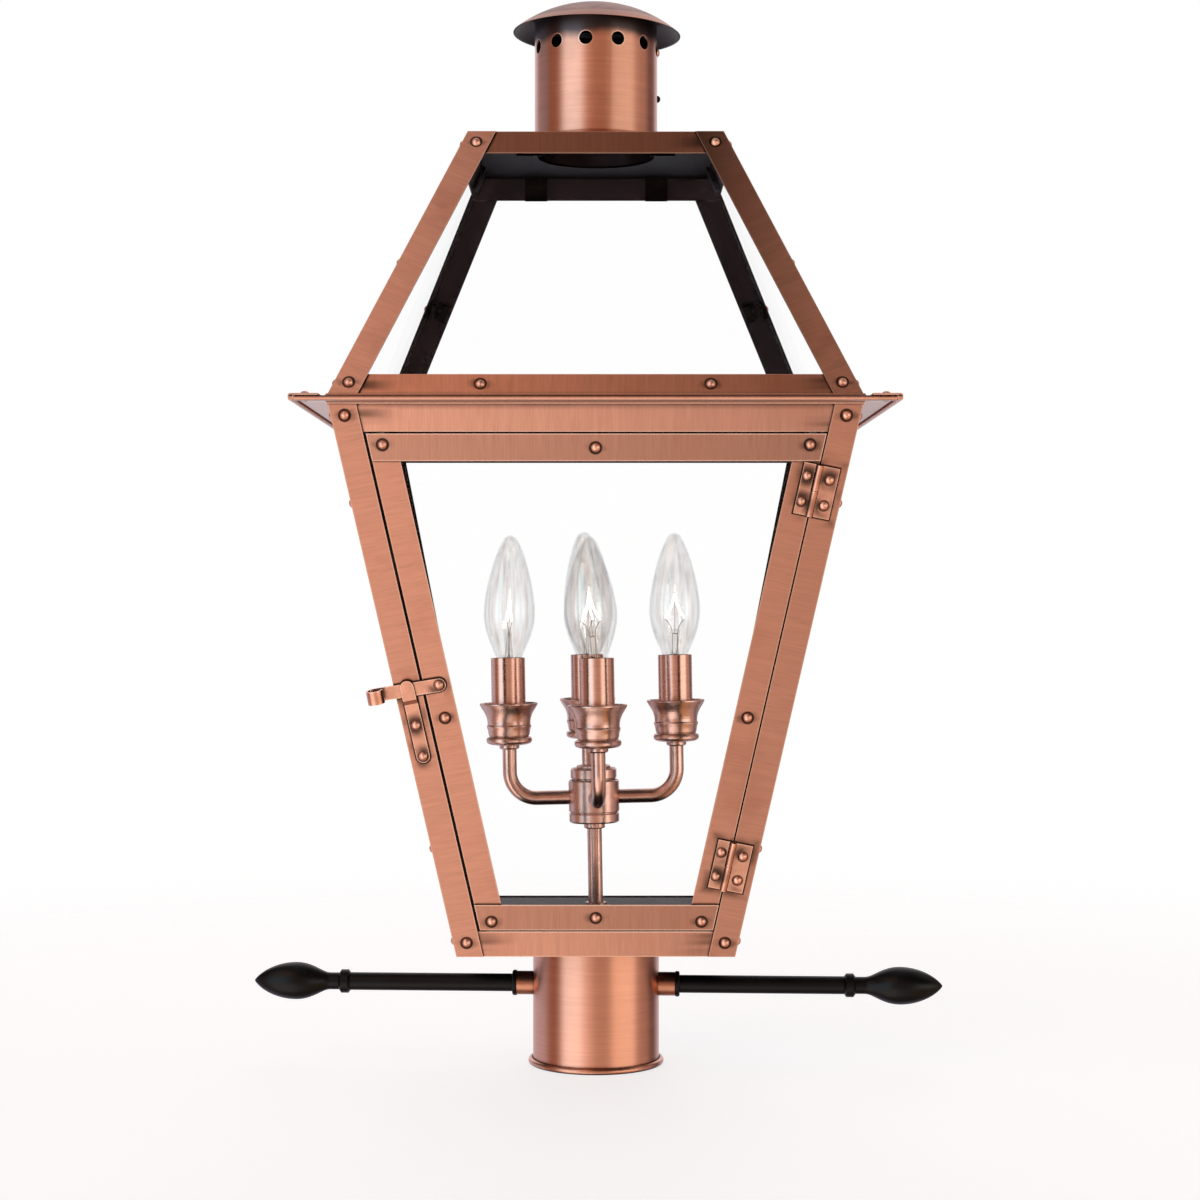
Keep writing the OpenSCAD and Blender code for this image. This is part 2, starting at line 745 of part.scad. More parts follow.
module frame_rivets() {
    color(copper) {
        on_straps(body_face, [0:3], [-1, 1], post_rivet_z) rivet(0, rail_layer[1]);
        on_straps(body_face, [1:3], [-1, 1], post_clip_z) rivet(0, strap_t + clip_t);
        on_straps(roof_face, [0:3], [-1, 1], hip_rivet_z) rivet(0, rail_layer[1]);
        on_straps(roof_face, [1:3], [-1, 1], hip_clip_z) rivet(0, strap_t + clip_t);
        on_base_rails([0:3]) rivet(-strap_t, strap_t + clip_t);
        at_eave_corners() {
            rivet(0, 2 * eave_t);
            translate([0, 2 * eave_t, 0]) mirror([0, 1, 0]) rivet(0, rivet_h / 2);
        }
        at_hinge_rivets(post_rivet_x) rivet(leaf_t, leaf_t + strap_t);
        at_keeper_rivets() rivet(latch_t, latch_t + strap_t);
        at_bracket_rivet() rivet(0, chimney_wall + bracket_t);
    }
}

// Chimney

chimney_r = chimney_d / 2;
cap_top_z = top_z + cap_rim_z + cap_h;
// The rain cap is part of a sphere, and the chimney ends just under it
cap_r = (cap_h * cap_h + cap_d * cap_d / 4) / 2 / cap_h;
cap_centre_z = cap_top_z - cap_r;
chimney_top_z = cap_centre_z + sqrt(pow(cap_r - cap_t, 2) - pow(chimney_r + cap_shift, 2)) - slack;
bracket_z = chimney_top_z - 6;
bracket_w = 10;
bracket_t = 1.5;
stud_d = 5;
bracket_turn = vent_turn + 360 / vent_count * 3.5;

// Puts its children on the outside of the chimney at an angle from the front: y inwards
module on_chimney(turn, z) {
    rotate([0, 0, turn]) translate([0, -chimney_r, z]) children();
}

module at_bracket_rivet() {
    on_chimney(bracket_turn, top_z + vent_z) children();
}

module at_dome_screw() {
    on_chimney(bracket_turn, top_z + dome_screw_z) children();
}

module chimney() {
    color(copper) difference() {
        translate([0, 0, top_z]) cylinder(h = chimney_top_z - top_z, r = chimney_r);
        translate([0, 0, top_z - over])
            cylinder(h = chimney_top_z - top_z + 2 * over, r = chimney_r - chimney_wall);
        for (i = [0:vent_count - 1])
            on_chimney(vent_turn + 360 / vent_count * i, top_z + vent_z) rotate([90, 0, 0])
                cylinder(h = 4 * chimney_wall, d = vent_d, center = true);
        at_bracket_rivet() rivet_hole();
        at_dome_screw() rivet_hole();
    }
}

module chimney_foot_ring() {
    color(dark_copper) translate([0, 0, top_z]) difference() {
        cylinder(h = foot_ring_h, r = chimney_r + foot_ring_t);
        translate([0, 0, -over]) cylinder(h = foot_ring_h + 2 * over, r = chimney_r + shank_gap);
    }
}

module chimney_screw() {
    color(black) at_dome_screw() rotate([90, 0, 0]) {
        dome(4.6, 2.4);
        translate([0, 0, -4 * chimney_wall]) cylinder(h = 5 * chimney_wall, d = shank_d);
    }
}

module rain_cap() {
    color(copper) translate([-cap_shift, 0, cap_centre_z]) rotate([0, cap_tilt, 0]) intersection() {
        difference() {
            sphere(cap_r);
            sphere(cap_r - cap_t);
        }
        translate([0, 0, cap_r - cap_h]) cylinder(h = cap_h + over, d = cap_d + over);
    }
}

// A bar across the chimney with turned-down ends, and the stud that carries the rain cap
module cap_bracket() {
    inside = chimney_r - chimney_wall;
    foot_z = top_z + vent_z - vent_d / 2;
    stud_top_z = cap_centre_z + sqrt(pow(cap_r - cap_t, 2) - pow(stud_d / 2 + cap_shift, 2));
    color(black) rotate([0, 0, bracket_turn]) difference() {
        union() {
            intersection() {
                translate([0, 0, foot_z]) cylinder(h = bracket_z - foot_z, r = inside);
                translate([-bracket_w / 2, -inside, foot_z])
                    cube([bracket_w, 2 * inside, bracket_z - foot_z]);
            }
            translate([0, 0, bracket_z - over]) cylinder(h = stud_top_z - bracket_z + over, d = stud_d);
        }
        translate([-bracket_w, bracket_t - inside, foot_z - over])
            cube([2 * bracket_w, 2 * (inside - bracket_t), bracket_z - bracket_t - foot_z + over]);
        translate([0, -chimney_r, top_z + vent_z]) rivet_hole();
    }
}

// Candle cluster

// Heights above the floor
hub_cover_h = 10;
hub_drum_z = hub_z + hub_cover_h;
hub_top_z = hub_drum_z + hub_h;
arm_z = hub_drum_z + hub_h / 2 - 0.5;
cup_z = arm_z + arm_rise;
seat_z = cup_z + cup_h * 0.47;
socket_top_z = seat_z + sleeve_l - 8;
// Collar of the bulb bases, which clears the sockets when a bulb leans
collar_t = 1;
bulb_z = socket_top_z + collar_t + 0.7;

// Puts its children on the floor, turned and leaning as the cluster stands
module in_cluster() {
    translate([0, 0, floor_z]) rotate([0, -cluster_lean, 0]) rotate([0, 0, cluster_turn]) children();
}

// Puts its children on the axis of each candle
module at_candles() {
    in_cluster() for (turn = [0:90:270]) rotate([0, 0, turn]) translate([0, -arm_reach, 0]) children();
}

// Puts its children on the axis of each bulb, which leans in its socket
module at_bulbs() {
    pivot_z = bulb_z - collar_t - base_l / 2;
    in_cluster() for (i = [0:3])
        rotate([0, 0, 90 * i]) translate([0, -arm_reach, pivot_z])
            rotate([0, 0, -90 * i]) rotate([0, bulb_leans[i], 0]) rotate([0, 0, bulb_turns[i]])
                translate([0, 0, -pivot_z]) children();
}

// The stem, with its lock nut under the floor
module stem() {
    below = floor_rise / 2;
    nut_h = below - pan_t - 3 * slack;
    color(copper) in_cluster() difference() {
        union() {
            translate([0, 0, -below]) cylinder(h = hub_z + below, d = stem_d);
            translate([0, 0, -below]) cylinder(h = nut_h, d = 2 * stem_d, $fn = 6);
        }
        translate([0, 0, -below - over])
            cylinder(h = hub_z + below + 2 * over, d = stem_d - 2 * tube_wall);
    }
}

module stem_flange() {
    bore_r = stem_d / 2 + 2 * slack;
    foot_r = stem_d * 1.2;
    top_r = stem_d * 0.72;
    color(copper) translate([0, 0, floor_z]) rotate_extrude() polygon(concat(
        [[bore_r, 0], [foot_r, 0], [foot_r, 1.2]],
        curve([foot_r, 1.2], [top_r, 1.6], [top_r - 1, 3], [top_r - 1, 5.5], 8),
        [[top_r, 6], [top_r, 7.4], [bore_r, 7.4]]
    ));
}

module hub_cover() {
    color(copper) in_cluster() translate([0, 0, hub_z]) rotate_extrude() polygon([
        [stem_d / 2 - tube_wall, 0], [6.3, 0], [6.75, 0.6], [6.75, 3.7],
        [hub_d / 2 - 1.2, 3.7], [hub_d / 2 - 0.2, 4.6], [hub_d / 2 - 0.2, hub_cover_h - 0.6],
        [hub_d / 2 - 0.8, hub_cover_h], [stem_d / 2 - tube_wall, hub_cover_h]
    ]);
}

module hub() {
    r = hub_d / 2;
    wall = 1.6;
    color(copper) in_cluster() difference() {
        translate([0, 0, hub_drum_z]) rotate_extrude() polygon([
            [stem_d / 2, 0], [r - 0.9, 0], [r - 0.9, 0.6], [r, 1.1], [r, hub_h - 0.8], [r - 0.8, hub_h],
            [r - wall, hub_h], [r - wall, wall], [stem_d / 2, wall]
        ]);
        for (turn = [0:90:270])
            rotate([0, 0, turn]) translate([0, 0, arm_z]) rotate([90, 0, 0])
                cylinder(h = hub_d, d = arm_d + 2 * shank_gap);
    }
}

module hub_cap() {
    r = hub_d / 2 - 1.45;
    color(copper) in_cluster() translate([0, 0, hub_top_z]) rotate_extrude() polygon([
        [0, 0], [r - 0.8, 0], [r - 0.8, 1], [r, 1.4], [r, 6.6], [r - 0.9, 7.5], [r - 3.9, 7.5],
        [r - 3.9, 8.9], [r - 4.3, 9.2], [0, 9.2]
    ]);
}

// One arm as a rod of a diameter: level run, bend and riser
module arm_rod(width) {
    translate([0, arm_bend - arm_reach, arm_z]) rotate([-90, 0, 0])
        cylinder(h = arm_reach - arm_bend - hub_d / 2 + 1.4, d = width);
    translate([0, arm_bend - arm_reach, arm_z + arm_bend]) rotate([0, 90, 0]) rotate([0, 0, -90])
        rotate_extrude(angle = 90) translate([arm_bend, 0]) circle(d = width);
    translate([0, -arm_reach, arm_z + arm_bend]) cylinder(h = arm_rise - arm_bend, d = width);
}

module candle_arms() {
    color(copper) in_cluster() for (turn = [0:90:270])
        rotate([0, 0, turn]) arm_rod(arm_d);
}

module candle_cups() {
    r = cup_d / 2;
    neck_r = arm_d * 0.71;
    bowl_r = r * 0.79;
    groove_r = r * 0.68;
    ring_r = r * 0.77;
    waist_r = r * 0.735;
    bowl_z = cup_h * 0.2;
    groove_z = cup_h * 0.285;
    ring_z = cup_h * 0.5;
    lip = 1.1;
    outside = concat(
        [[2.5, 0], [neck_r - 0.8, 0], [neck_r, 0.8], [neck_r, 2.6]],
        curve([neck_r, 2.6], [bowl_r - 1.6, 2.5], [bowl_r + 0.2, 3.8], [bowl_r, bowl_z], 6),
        curve([bowl_r, bowl_z], [bowl_r - 0.1, bowl_z + 1], [bowl_r - 0.6, groove_z - 0.7],
            [groove_r + 0.4, groove_z - 0.6], 5),
        [[groove_r, groove_z - 0.2], [groove_r + 0.1, groove_z + 0.3], [groove_r + 0.5, groove_z + 0.6]],
        curve([groove_r + 0.5, groove_z + 0.6], [groove_r + 0.8, groove_z + 2.5],
            [ring_r - 0.9, ring_z - 2.6], [ring_r - 0.15, ring_z - 0.9], 5),
        [[ring_r, ring_z - 0.4], [ring_r - 0.1, ring_z + 0.2], [waist_r + 0.1, ring_z + 0.9]],
        curve([waist_r + 0.1, ring_z + 0.9], [waist_r - 0.1, cup_h * 0.74], [r - 2.2, cup_h * 0.82],
            [r - 0.3, cup_h - 1.6], 9),
        [[r, cup_h - 1.1], [r, cup_h - 0.4], [r - 0.4, cup_h]]
    );
    inside = concat(
        [[r - lip, cup_h]],
        curve([r - lip, cup_h], [r - lip - 2.6, cup_h * 0.87], [waist_r - lip, cup_h * 0.75],
            [waist_r - lip, seat_z - cup_z], 8),
        [[2.5, seat_z - cup_z]]
    );
    color(copper) at_candles() translate([0, 0, cup_z]) rotate_extrude() polygon(concat(outside, inside));
}

module candle_sleeves() {
    color(copper) at_candles() translate([0, 0, seat_z]) difference() {
        cylinder(h = sleeve_l, d = sleeve_d);
        translate([0, 0, -over]) cylinder(h = sleeve_l + 2 * over, d = sleeve_d - 2 * sleeve_wall);
    }
}

module lamp_sockets() {
    depth = base_l + 3;
    color(black) at_candles() difference() {
        translate([0, 0, seat_z])
            cylinder(h = socket_top_z - seat_z, d = sleeve_d - 2 * sleeve_wall - slack);
        translate([0, 0, socket_top_z - depth]) cylinder(h = depth + over, d = base_d + 2 * socket_gap);
    }
}

module bulb_bases() {
    foot_z = bulb_z - collar_t - base_l;
    tip_h = 1.5;
    color(brass) at_bulbs() {
        translate([0, 0, bulb_z - collar_t]) cylinder(h = collar_t, d = base_d + 1.2);
        translate([0, 0, foot_z]) cylinder(h = base_l, d = base_d);
        translate([0, 0, foot_z - tip_h]) cylinder(h = tip_h + over, d = base_d * 0.35);
    }
}

// Half outline of a bulb, drawn in by a distance
function bulb_outline(inset) =
    let (
        foot = [base_d / 2 + 0.5 - inset, 0],
        belly = [bulb_d / 2 - inset, bulb_l * 0.405],
        shoulder = [bulb_d * 0.115 - inset, bulb_l - 1.6 - inset * 0.7],
        tip = [0, bulb_l - inset]
    )
    concat(
        [foot],
        curve(foot, [bulb_d * 0.235 - inset, bulb_l * 0.105], [belly[0], bulb_l * 0.24], belly, 14),
        curve(belly, [belly[0], bulb_l * 0.6], [bulb_d * 0.27 - inset, bulb_l * 0.9], shoulder, 16),
        curve(shoulder, [shoulder[0] * 0.68, tip[1] - 0.5], [shoulder[0] * 0.3, tip[1]], tip, 6)
    );

module bulb_glass() {
    color(clear) at_bulbs() translate([0, 0, bulb_z]) rotate_extrude() difference() {
        polygon(concat(bulb_outline(0), [[0, 0]]));
        polygon(concat(bulb_outline(bulb_wall), [[0, 0]]));
    }
}

// A straight wire from a to b, each given as a place to the side and a height
module wire(a, b, radius) {
    run = b - a;
    translate([a[0], 0, a[1]]) rotate([0, atan2(run[0], run[1]), 0]) cylinder(h = norm(run), r = radius);
}

// The glass mount on each bulb base, its two wires and the peaked filament that they hold
module bulb_filaments() {
    mount_h = bulb_l * 0.27;
    mount_r = bulb_d * 0.08;
    wire_r = 0.3;
    coil_r = 0.45;
    elbow = [bulb_d * 0.2, bulb_l * 0.35];
    peak_z = bulb_l * 0.54;
    color(glow) at_bulbs() translate([0, 0, bulb_z]) {
        cylinder(h = mount_h, r = mount_r);
        for (side = [-1, 1]) {
            wire([side * mount_r * 0.7, mount_h - over], [side * elbow[0], elbow[1]], wire_r);
            translate([side * elbow[0], 0, elbow[1]]) sphere(1.5 * coil_r);
            wire([side * elbow[0], elbow[1]], [0, peak_z], coil_r);
        }
        translate([0, 0, peak_z]) sphere(1.5 * coil_r);
    }
}

// Hinges

hinge_z = [eave_z - hinge_drop, foot_z + hinge_rise];
knuckle_y = -knuckle_d / 2 - slack;
knuckle_gap = 0.3;
leaf_clear = knuckle_d / 2 + 2 * slack;
post_rivet_x = 7.1;
door_rivet_x = -6;
leaf_rivet_z = hinge_l * 0.25;

// Middle of the gap between the door and the post at the hinges
function hinge_x(z) = door_right(z) + door_gap_hinge / 2;

// Puts its children on the face at each hinge: x towards the post, z along the pin
module at_hinges() {
    for (z = hinge_z)
        on_face(body_face, hinge_x(z), z) rotate([0, corner_lean(body_face), 0]) children();
}

module at_hinge_rivets(x) {
    at_hinges() for (side = [-1, 1]) translate([x, 0, side * leaf_rivet_z]) children();
}

// A leaf that reaches to x and has its knuckle from one height to another
module hinge_leaf(x, knuckle) {
    inner = x > 0 ? leaf_clear : -leaf_clear;
    difference() {
        union() {
            translate([min(x, inner), -leaf_t, -hinge_l / 2]) cube([abs(x - inner), leaf_t, hinge_l]);
            translate([min(0, inner + x / 20), -leaf_t, knuckle[0]])
                cube([abs(inner + x / 20), leaf_t, knuckle[1] - knuckle[0]]);
            translate([0, knuckle_y, knuckle[0]]) cylinder(h = knuckle[1] - knuckle[0], d = knuckle_d);
        }
        translate([0, knuckle_y, -hinge_l]) cylinder(h = 2 * hinge_l, d = pin_d + 2 * pin_gap);
    }
}

module hinge_post_leaves() {
    color(copper) difference() {
        at_hinges() hinge_leaf(post_leaf_w, [knuckle_gap / 2, hinge_l / 2]);
        at_hinge_rivets(post_rivet_x) rivet_hole();
    }
}

module hinge_door_leaves() {
    color(copper) difference() {
        at_hinges() hinge_leaf(-door_leaf_w, [-hinge_l / 2, -knuckle_gap / 2]);
        at_hinge_rivets(door_rivet_x) rivet_hole();
    }
}

module hinge_pins() {
    color(dark_copper) at_hinges() translate([0, knuckle_y, -hinge_l / 2])
        cylinder(h = hinge_l - pin_d / 2, d = pin_d);
}

// Door

module door_rails() {
    color(copper) difference() {
        for (z = [door_z[0], door_z[1] - door_rail_h])
            panel(
                body_face, [z, z + door_rail_h], [-strap_t, 0],
                [door_left(z), door_left(z + door_rail_h)], [door_right(z), door_right(z + door_rail_h)]
            );
        at_door_corners() rivet_hole();
        at_door_rail_clips() rivet_hole();
    }
}

module door_stiles() {
    width = across(body_face, strap_w);
    left = [door_left(door_z[0]), door_left(door_z[1])];
    right = [door_right(door_z[0]), door_right(door_z[1])];
    color(copper) difference() {
        union() {
            panel(body_face, door_z, post_layer, left, left + [width, width]);
            panel(body_face, door_z, post_layer, right - [width, width], right);
        }
        at_door_corners() rivet_hole();
        at_stile_clips() rivet_hole();
        at_hinge_rivets(door_rivet_x) rivet_hole();
        at_latch() rivet_hole();
    }
}

module door_glass() {
    inset = across(body_face, strap_w - glass_lap);
    color(clear) panel(
        body_face, door_pane_z, door_pane_layer,
        [for (z = door_pane_z) door_left(z) + inset], [for (z = door_pane_z) door_right(z) - inset]
    );
}

// Puts its children on the middle of the stiles: x towards the glass, z up the stile
module on_stiles(heights) {
    middle = across(body_face, strap_w) / 2;
    for (z = heights, side = [-1, 1])
        on_face(body_face, side < 0 ? door_left(z) + middle : door_right(z) - middle, z)
            mirror([side > 0 ? 1 : 0, 0, 0]) rotate([0, -corner_lean(body_face), 0]) children();
}

module at_door_corners() {
    on_stiles([door_z[0] + door_rail_h * 0.35, door_z[1] - door_rail_h * 0.39]) children();
}

module at_stile_clips() {
    on_stiles(stile_clip_z) children();
}

// Puts its children on the middle of the door's rails: x towards the glass
module at_door_rail_clips() {
    on_face(body_face, 0, door_z[0] + door_rail_h / 2) rotate([0, -90, 0]) children();
    on_face(body_face, 0, door_z[1] - door_rail_h / 2) rotate([0, 90, 0]) children();
}

module door_clips() {
    edge = strap_w / 2 - glass_lap - slack;
    pane_back = door_pane_layer[1];
    color(black) {
        at_stile_clips() clip(edge - side_lean(body_face, pane_back), strap_t, pane_back);
        at_door_rail_clips() clip(edge - pane_back * body_face[2], 0, pane_back);
    }
}

module door_rivets() {
    color(copper) {
        at_door_corners() rivet(strap_t, 2 * strap_t);
        at_stile_clips() rivet(0, strap_t + clip_t);
        at_door_rail_clips() rivet(strap_t, strap_t + clip_t);
        at_hinge_rivets(door_rivet_x) rivet(leaf_t, leaf_t + strap_t);
    }
}

// Latch

lever_back = lever_gap;
lever_front = lever_gap + latch_t;
tongue_back = lever_front + lever_gap + slack;
keeper_z = latch_z - keeper_drop;
keeper_rivet_pitch = 19.4;

// Puts its children on the left stile at the lever's pivot
module at_latch() {
    middle = door_left(latch_z) + across(body_face, strap_w) / 2;
    on_face(body_face, middle + latch_shift, latch_z) children();
}

// The rivet that the lever turns on, with the washer that keeps the lever off the stile
module latch_pivot() {
    lift = lever_front + pivot_gap;
    color(copper) at_latch() {
        rivet(lift, lift + strap_t);
        rotate([90, 0, 0]) cylinder(h = lever_back - pivot_gap, d = rivet_d);
    }
}

module latch_lever() {
    scroll_r = scroll_d / 2;
    color(copper) at_latch() rotate([0, -lever_droop, 0]) difference() {
        union() {
            rotate([90, 0, 0]) translate([0, 0, lever_back]) cylinder(h = latch_t, d = latch_w);
            translate([-lever_l, -lever_front, -latch_w / 2]) cube([lever_l, latch_t, latch_w]);
            translate([-lever_l, -lever_back - scroll_r, -latch_w / 2]) difference() {
                cylinder(h = latch_w, r = scroll_r);
                translate([0, 0, -over]) cylinder(h = latch_w + 2 * over, r = scroll_r - latch_t);
                translate([0, 0, -over]) cube([scroll_d, scroll_d, latch_w + 2 * over]);
            }
        }
        rotate([90, 0, 0]) cylinder(h = 2 * lever_front, d = shank_d + 2 * pivot_gap);
    }
}

// Puts its children on the left post at the keeper's lower rivet: z up the post
module at_keeper() {
    on_straps(body_face, [0], [-1], [keeper_z]) children();
}

module at_keeper_rivets() {
    at_keeper() for (z = [0, keeper_rivet_pitch]) translate([0, 0, z]) children();
}

module latch_keeper() {
    r = latch_w / 2;
    bend_z = 33;
    tongue_z = bend_z + 3;
    tongue_front = tongue_back + latch_t;
    color(copper) difference() {
        at_keeper() intersection() {
            translate([-r, 0, 0]) rotate([90, 0, 90]) linear_extrude(latch_w) polygon([
                [0, -r], [0, bend_z], [-tongue_back, tongue_z], [-tongue_back, keeper_l],
                [-tongue_front, keeper_l], [-tongue_front, tongue_z - 0.6], [-latch_t, bend_z - 0.6],
                [-latch_t, -r]
            ]);
            rotate([90, 0, 0]) linear_extrude(tongue_front) {
                translate([-r, 0]) square([latch_w, keeper_l - r]);
                circle(r);
                translate([0, keeper_l - r]) circle(r);
            }
        }
        at_keeper_rivets() rivet_hole();
    }
}

post_fitter();
set_screws();
ladder_sockets();
ladder_rings();
ladder_rods();
ladder_finials();
bottom_pan();
floor_tray();
corner_post_front_right();
corner_post_rear_right();
corner_post_rear_left();
corner_post_front_left();
body_foot_rails();
body_head_rails();
body_glass_right();
body_glass_rear();
body_glass_left();
eave_front_and_rear();
eave_sides();
hip_front_right();
hip_rear_right();
hip_rear_left();
hip_front_left();
roof_base_rails();
roof_top_rails();
roof_glass_front();
roof_glass_right();
roof_glass_rear();
roof_glass_left();
glass_clips();
frame_rivets();
roof_plate();
chimney();
chimney_foot_ring();
chimney_screw();
rain_cap();
cap_bracket();
stem();
stem_flange();
hub_cover();
hub();
hub_cap();
candle_arms();
candle_cups();
candle_sleeves();
lamp_sockets();
bulb_bases();
bulb_glass();
bulb_filaments();
hinge_post_leaves();
hinge_pins();
latch_keeper();
door_rails();
door_stiles();
door_glass();
door_clips();
door_rivets();
hinge_door_leaves();
latch_pivot();
latch_lever();
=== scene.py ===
"""Outdoor post lantern: the finish of every CAD node, the lamps' inner parts and a plain studio."""

import math

import bmesh
import bpy
from mathutils import Matrix, Vector
from mathutils.bvhtree import BVHTree


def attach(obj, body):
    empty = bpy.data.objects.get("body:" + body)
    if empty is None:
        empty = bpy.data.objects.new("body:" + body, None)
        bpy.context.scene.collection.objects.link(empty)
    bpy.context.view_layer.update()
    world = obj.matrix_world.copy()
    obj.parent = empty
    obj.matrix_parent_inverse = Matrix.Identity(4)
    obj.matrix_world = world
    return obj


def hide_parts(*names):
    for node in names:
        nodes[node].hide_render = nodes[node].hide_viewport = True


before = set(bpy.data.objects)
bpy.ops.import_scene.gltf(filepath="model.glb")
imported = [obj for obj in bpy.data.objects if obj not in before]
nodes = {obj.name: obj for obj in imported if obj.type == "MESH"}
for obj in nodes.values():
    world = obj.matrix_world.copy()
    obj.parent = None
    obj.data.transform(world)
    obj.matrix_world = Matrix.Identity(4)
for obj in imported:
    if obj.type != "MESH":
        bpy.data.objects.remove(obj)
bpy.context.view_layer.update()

# ---------------------------------------------------------------- sizes in metres, angles in degrees

CAMERA_PLACE = (0.00256, -1.480, 0.294)
CAMERA_LENS = 69.33
CAMERA_SHIFT = 0.0025

# How far the corner straps lean from upright, in radians
BODY_CORNER_LEAN = math.radians(11.7)
ROOF_CORNER_LEAN = math.radians(22.6)
# Height of a flared face's foot, its half width there, and how that grows with height
BODY_FACE = (0.0802, 0.0842, 0.21184)
ROOF_FACE = (0.4116, 0.1550, -0.45794)
STRAP_WIDTH = 0.0162
# Heights of the eave's underside and of the middle of its hem
EAVE_HEIGHT = 0.4104
HEM_FOLD = 0.4112

EDGE_ROUNDING = 0.00045
WELD_REACH = 1e-6
# How far the straps' outer edges are rubbed bright and painted with a highlight, and how close a corner has to be
# for a dark seam line of patina and painted shade
STRAP_EDGE_WEAR_AND_HIGHLIGHT = 0.0012
SEAM_PATINA_AND_SHADE = 0.0024
SEAM_REACH = 0.030

# How far a rivet's middle may lie from what it stands on
RIVET_REACH = 0.0035
# A mark's reach sideways, how many times less it reaches into the face and upwards, and how it wanders
MARK_REACH = 0.009
MARK_SHAPE = (1.0, 3.2, 1.9)
MARK_WANDER = (0.006, 0.006, 0.003)
# Distances between which marks fade out: the ring round a rivet on a strap and on a fitting, the halo round
# the latter, and the outline of a fitting on a strap. The rings and the outline are patina and painted shade; the
# halo is patina. The fitting's own halo fades from its edge.
STRAP_RING = (0.0035, 0.0044)
FITTING_RING = (0.0031, 0.0039)
FITTING_RIVET_HALO = (0.0032, 0.0095)
FITTING_OUTLINE = (0.0005, 0.0014)
FITTING_HALO = 0.0060

# The hinges and the latch on the front face, as in the CAD: sides and heights, and half widths.
# FACE_SLOPE is how much longer the leaning face is than it is high.
FACE_SLOPE = 1.0222
HINGES = ((0.1265, 0.3591), (0.0794, 0.1366))
HINGE_MIDDLE = 0.0013
HINGE_HALVES = (0.0105, 0.0152)
LATCH_BARS = (((-0.1022, 0.2031), (-0.1109, 0.2445), 0.0040), ((-0.0922, 0.2460), (-0.1200, 0.2413), 0.0040))

# The chimney and its vents, as in the CAD, and where painted shade and patina darken it under the cap
CHIMNEY_RADIUS = 0.03915
VENTS = 12
VENT_TURN = -9.3
VENT_HEIGHT = 0.6469
VENT_RIM = (0.0046, 0.0050)
TOP_SHADE_HEIGHT = 0.6535
TOP_SHADE_FADE = 0.007
CAP_SHIFT = 0.0012
CAP_RADIUS = 0.0535

# The lamps' places, as in the CAD: the cluster's floor, turn and lean, and each bulb's lean and turn
CLUSTER_FLOOR = 0.0952
CLUSTER_TURN = 3.5
CLUSTER_LEAN = 1.0
ARM_REACH = 0.0535
LAMP_PIVOT = 0.147418
LAMP_FOOT = 0.158418
LAMP_LEANS = (-4.0, 0.6, 1.8, 1.8)
LAMP_TURNS = (20, 0, 60, 75)

# ---------------------------------------------------------------- colours, linear

# The studio's brightness, the share of its colour that metal keeps in it, and the colour of edges rubbed bright and
# painted with a highlight
BRIGHTNESS = 1.25
METAL_SHARE = 0.8
EDGE_WEAR_AND_HIGHLIGHT = (1.00, 0.68, 0.54)
# The most that a strap's painted light and shade may lighten it
LIGHTEST_PAINTED_LIGHT = 1.25

COPPER = (0.90, 0.455, 0.325)
COPPER_WORN = (1.00, 0.640, 0.500)
COPPER_DARK = (0.55, 0.215, 0.140)
COPPER_BROWN = (0.88, 0.560, 0.475)
# Downward faces: paler for less patina, and a painted reflection of the bright floor
PALE_UNDERSIDE_AND_FLOOR_SHEEN = (0.98, 0.80, 0.74)
LIP_COPPER = (0.42, 0.20, 0.145)
# Dark patina, also used as painted shade in seams, under rivet heads, round fittings, in the hem's fold and under
# the eave
DARK_PATINA_AND_SHADE = (0.020, 0.014, 0.013)
SOOT = (0.020, 0.017, 0.018)
PLATE_SOOT = (0.0115, 0.0088, 0.0086)
# Painted shade and patina at the chimney's top, under the cap
CHIMNEY_TOP_SHADE_AND_PATINA = (0.125, 0.096, 0.098)
INSIDE = (0.050, 0.038, 0.044)
MILL_GREY = (0.50, 0.52, 0.51)
BLACK = (0.0020, 0.0018, 0.0022)


def scaled(colour, factor):
    """A colour with each of its parts times a factor."""
    return tuple(factor * part for part in colour)


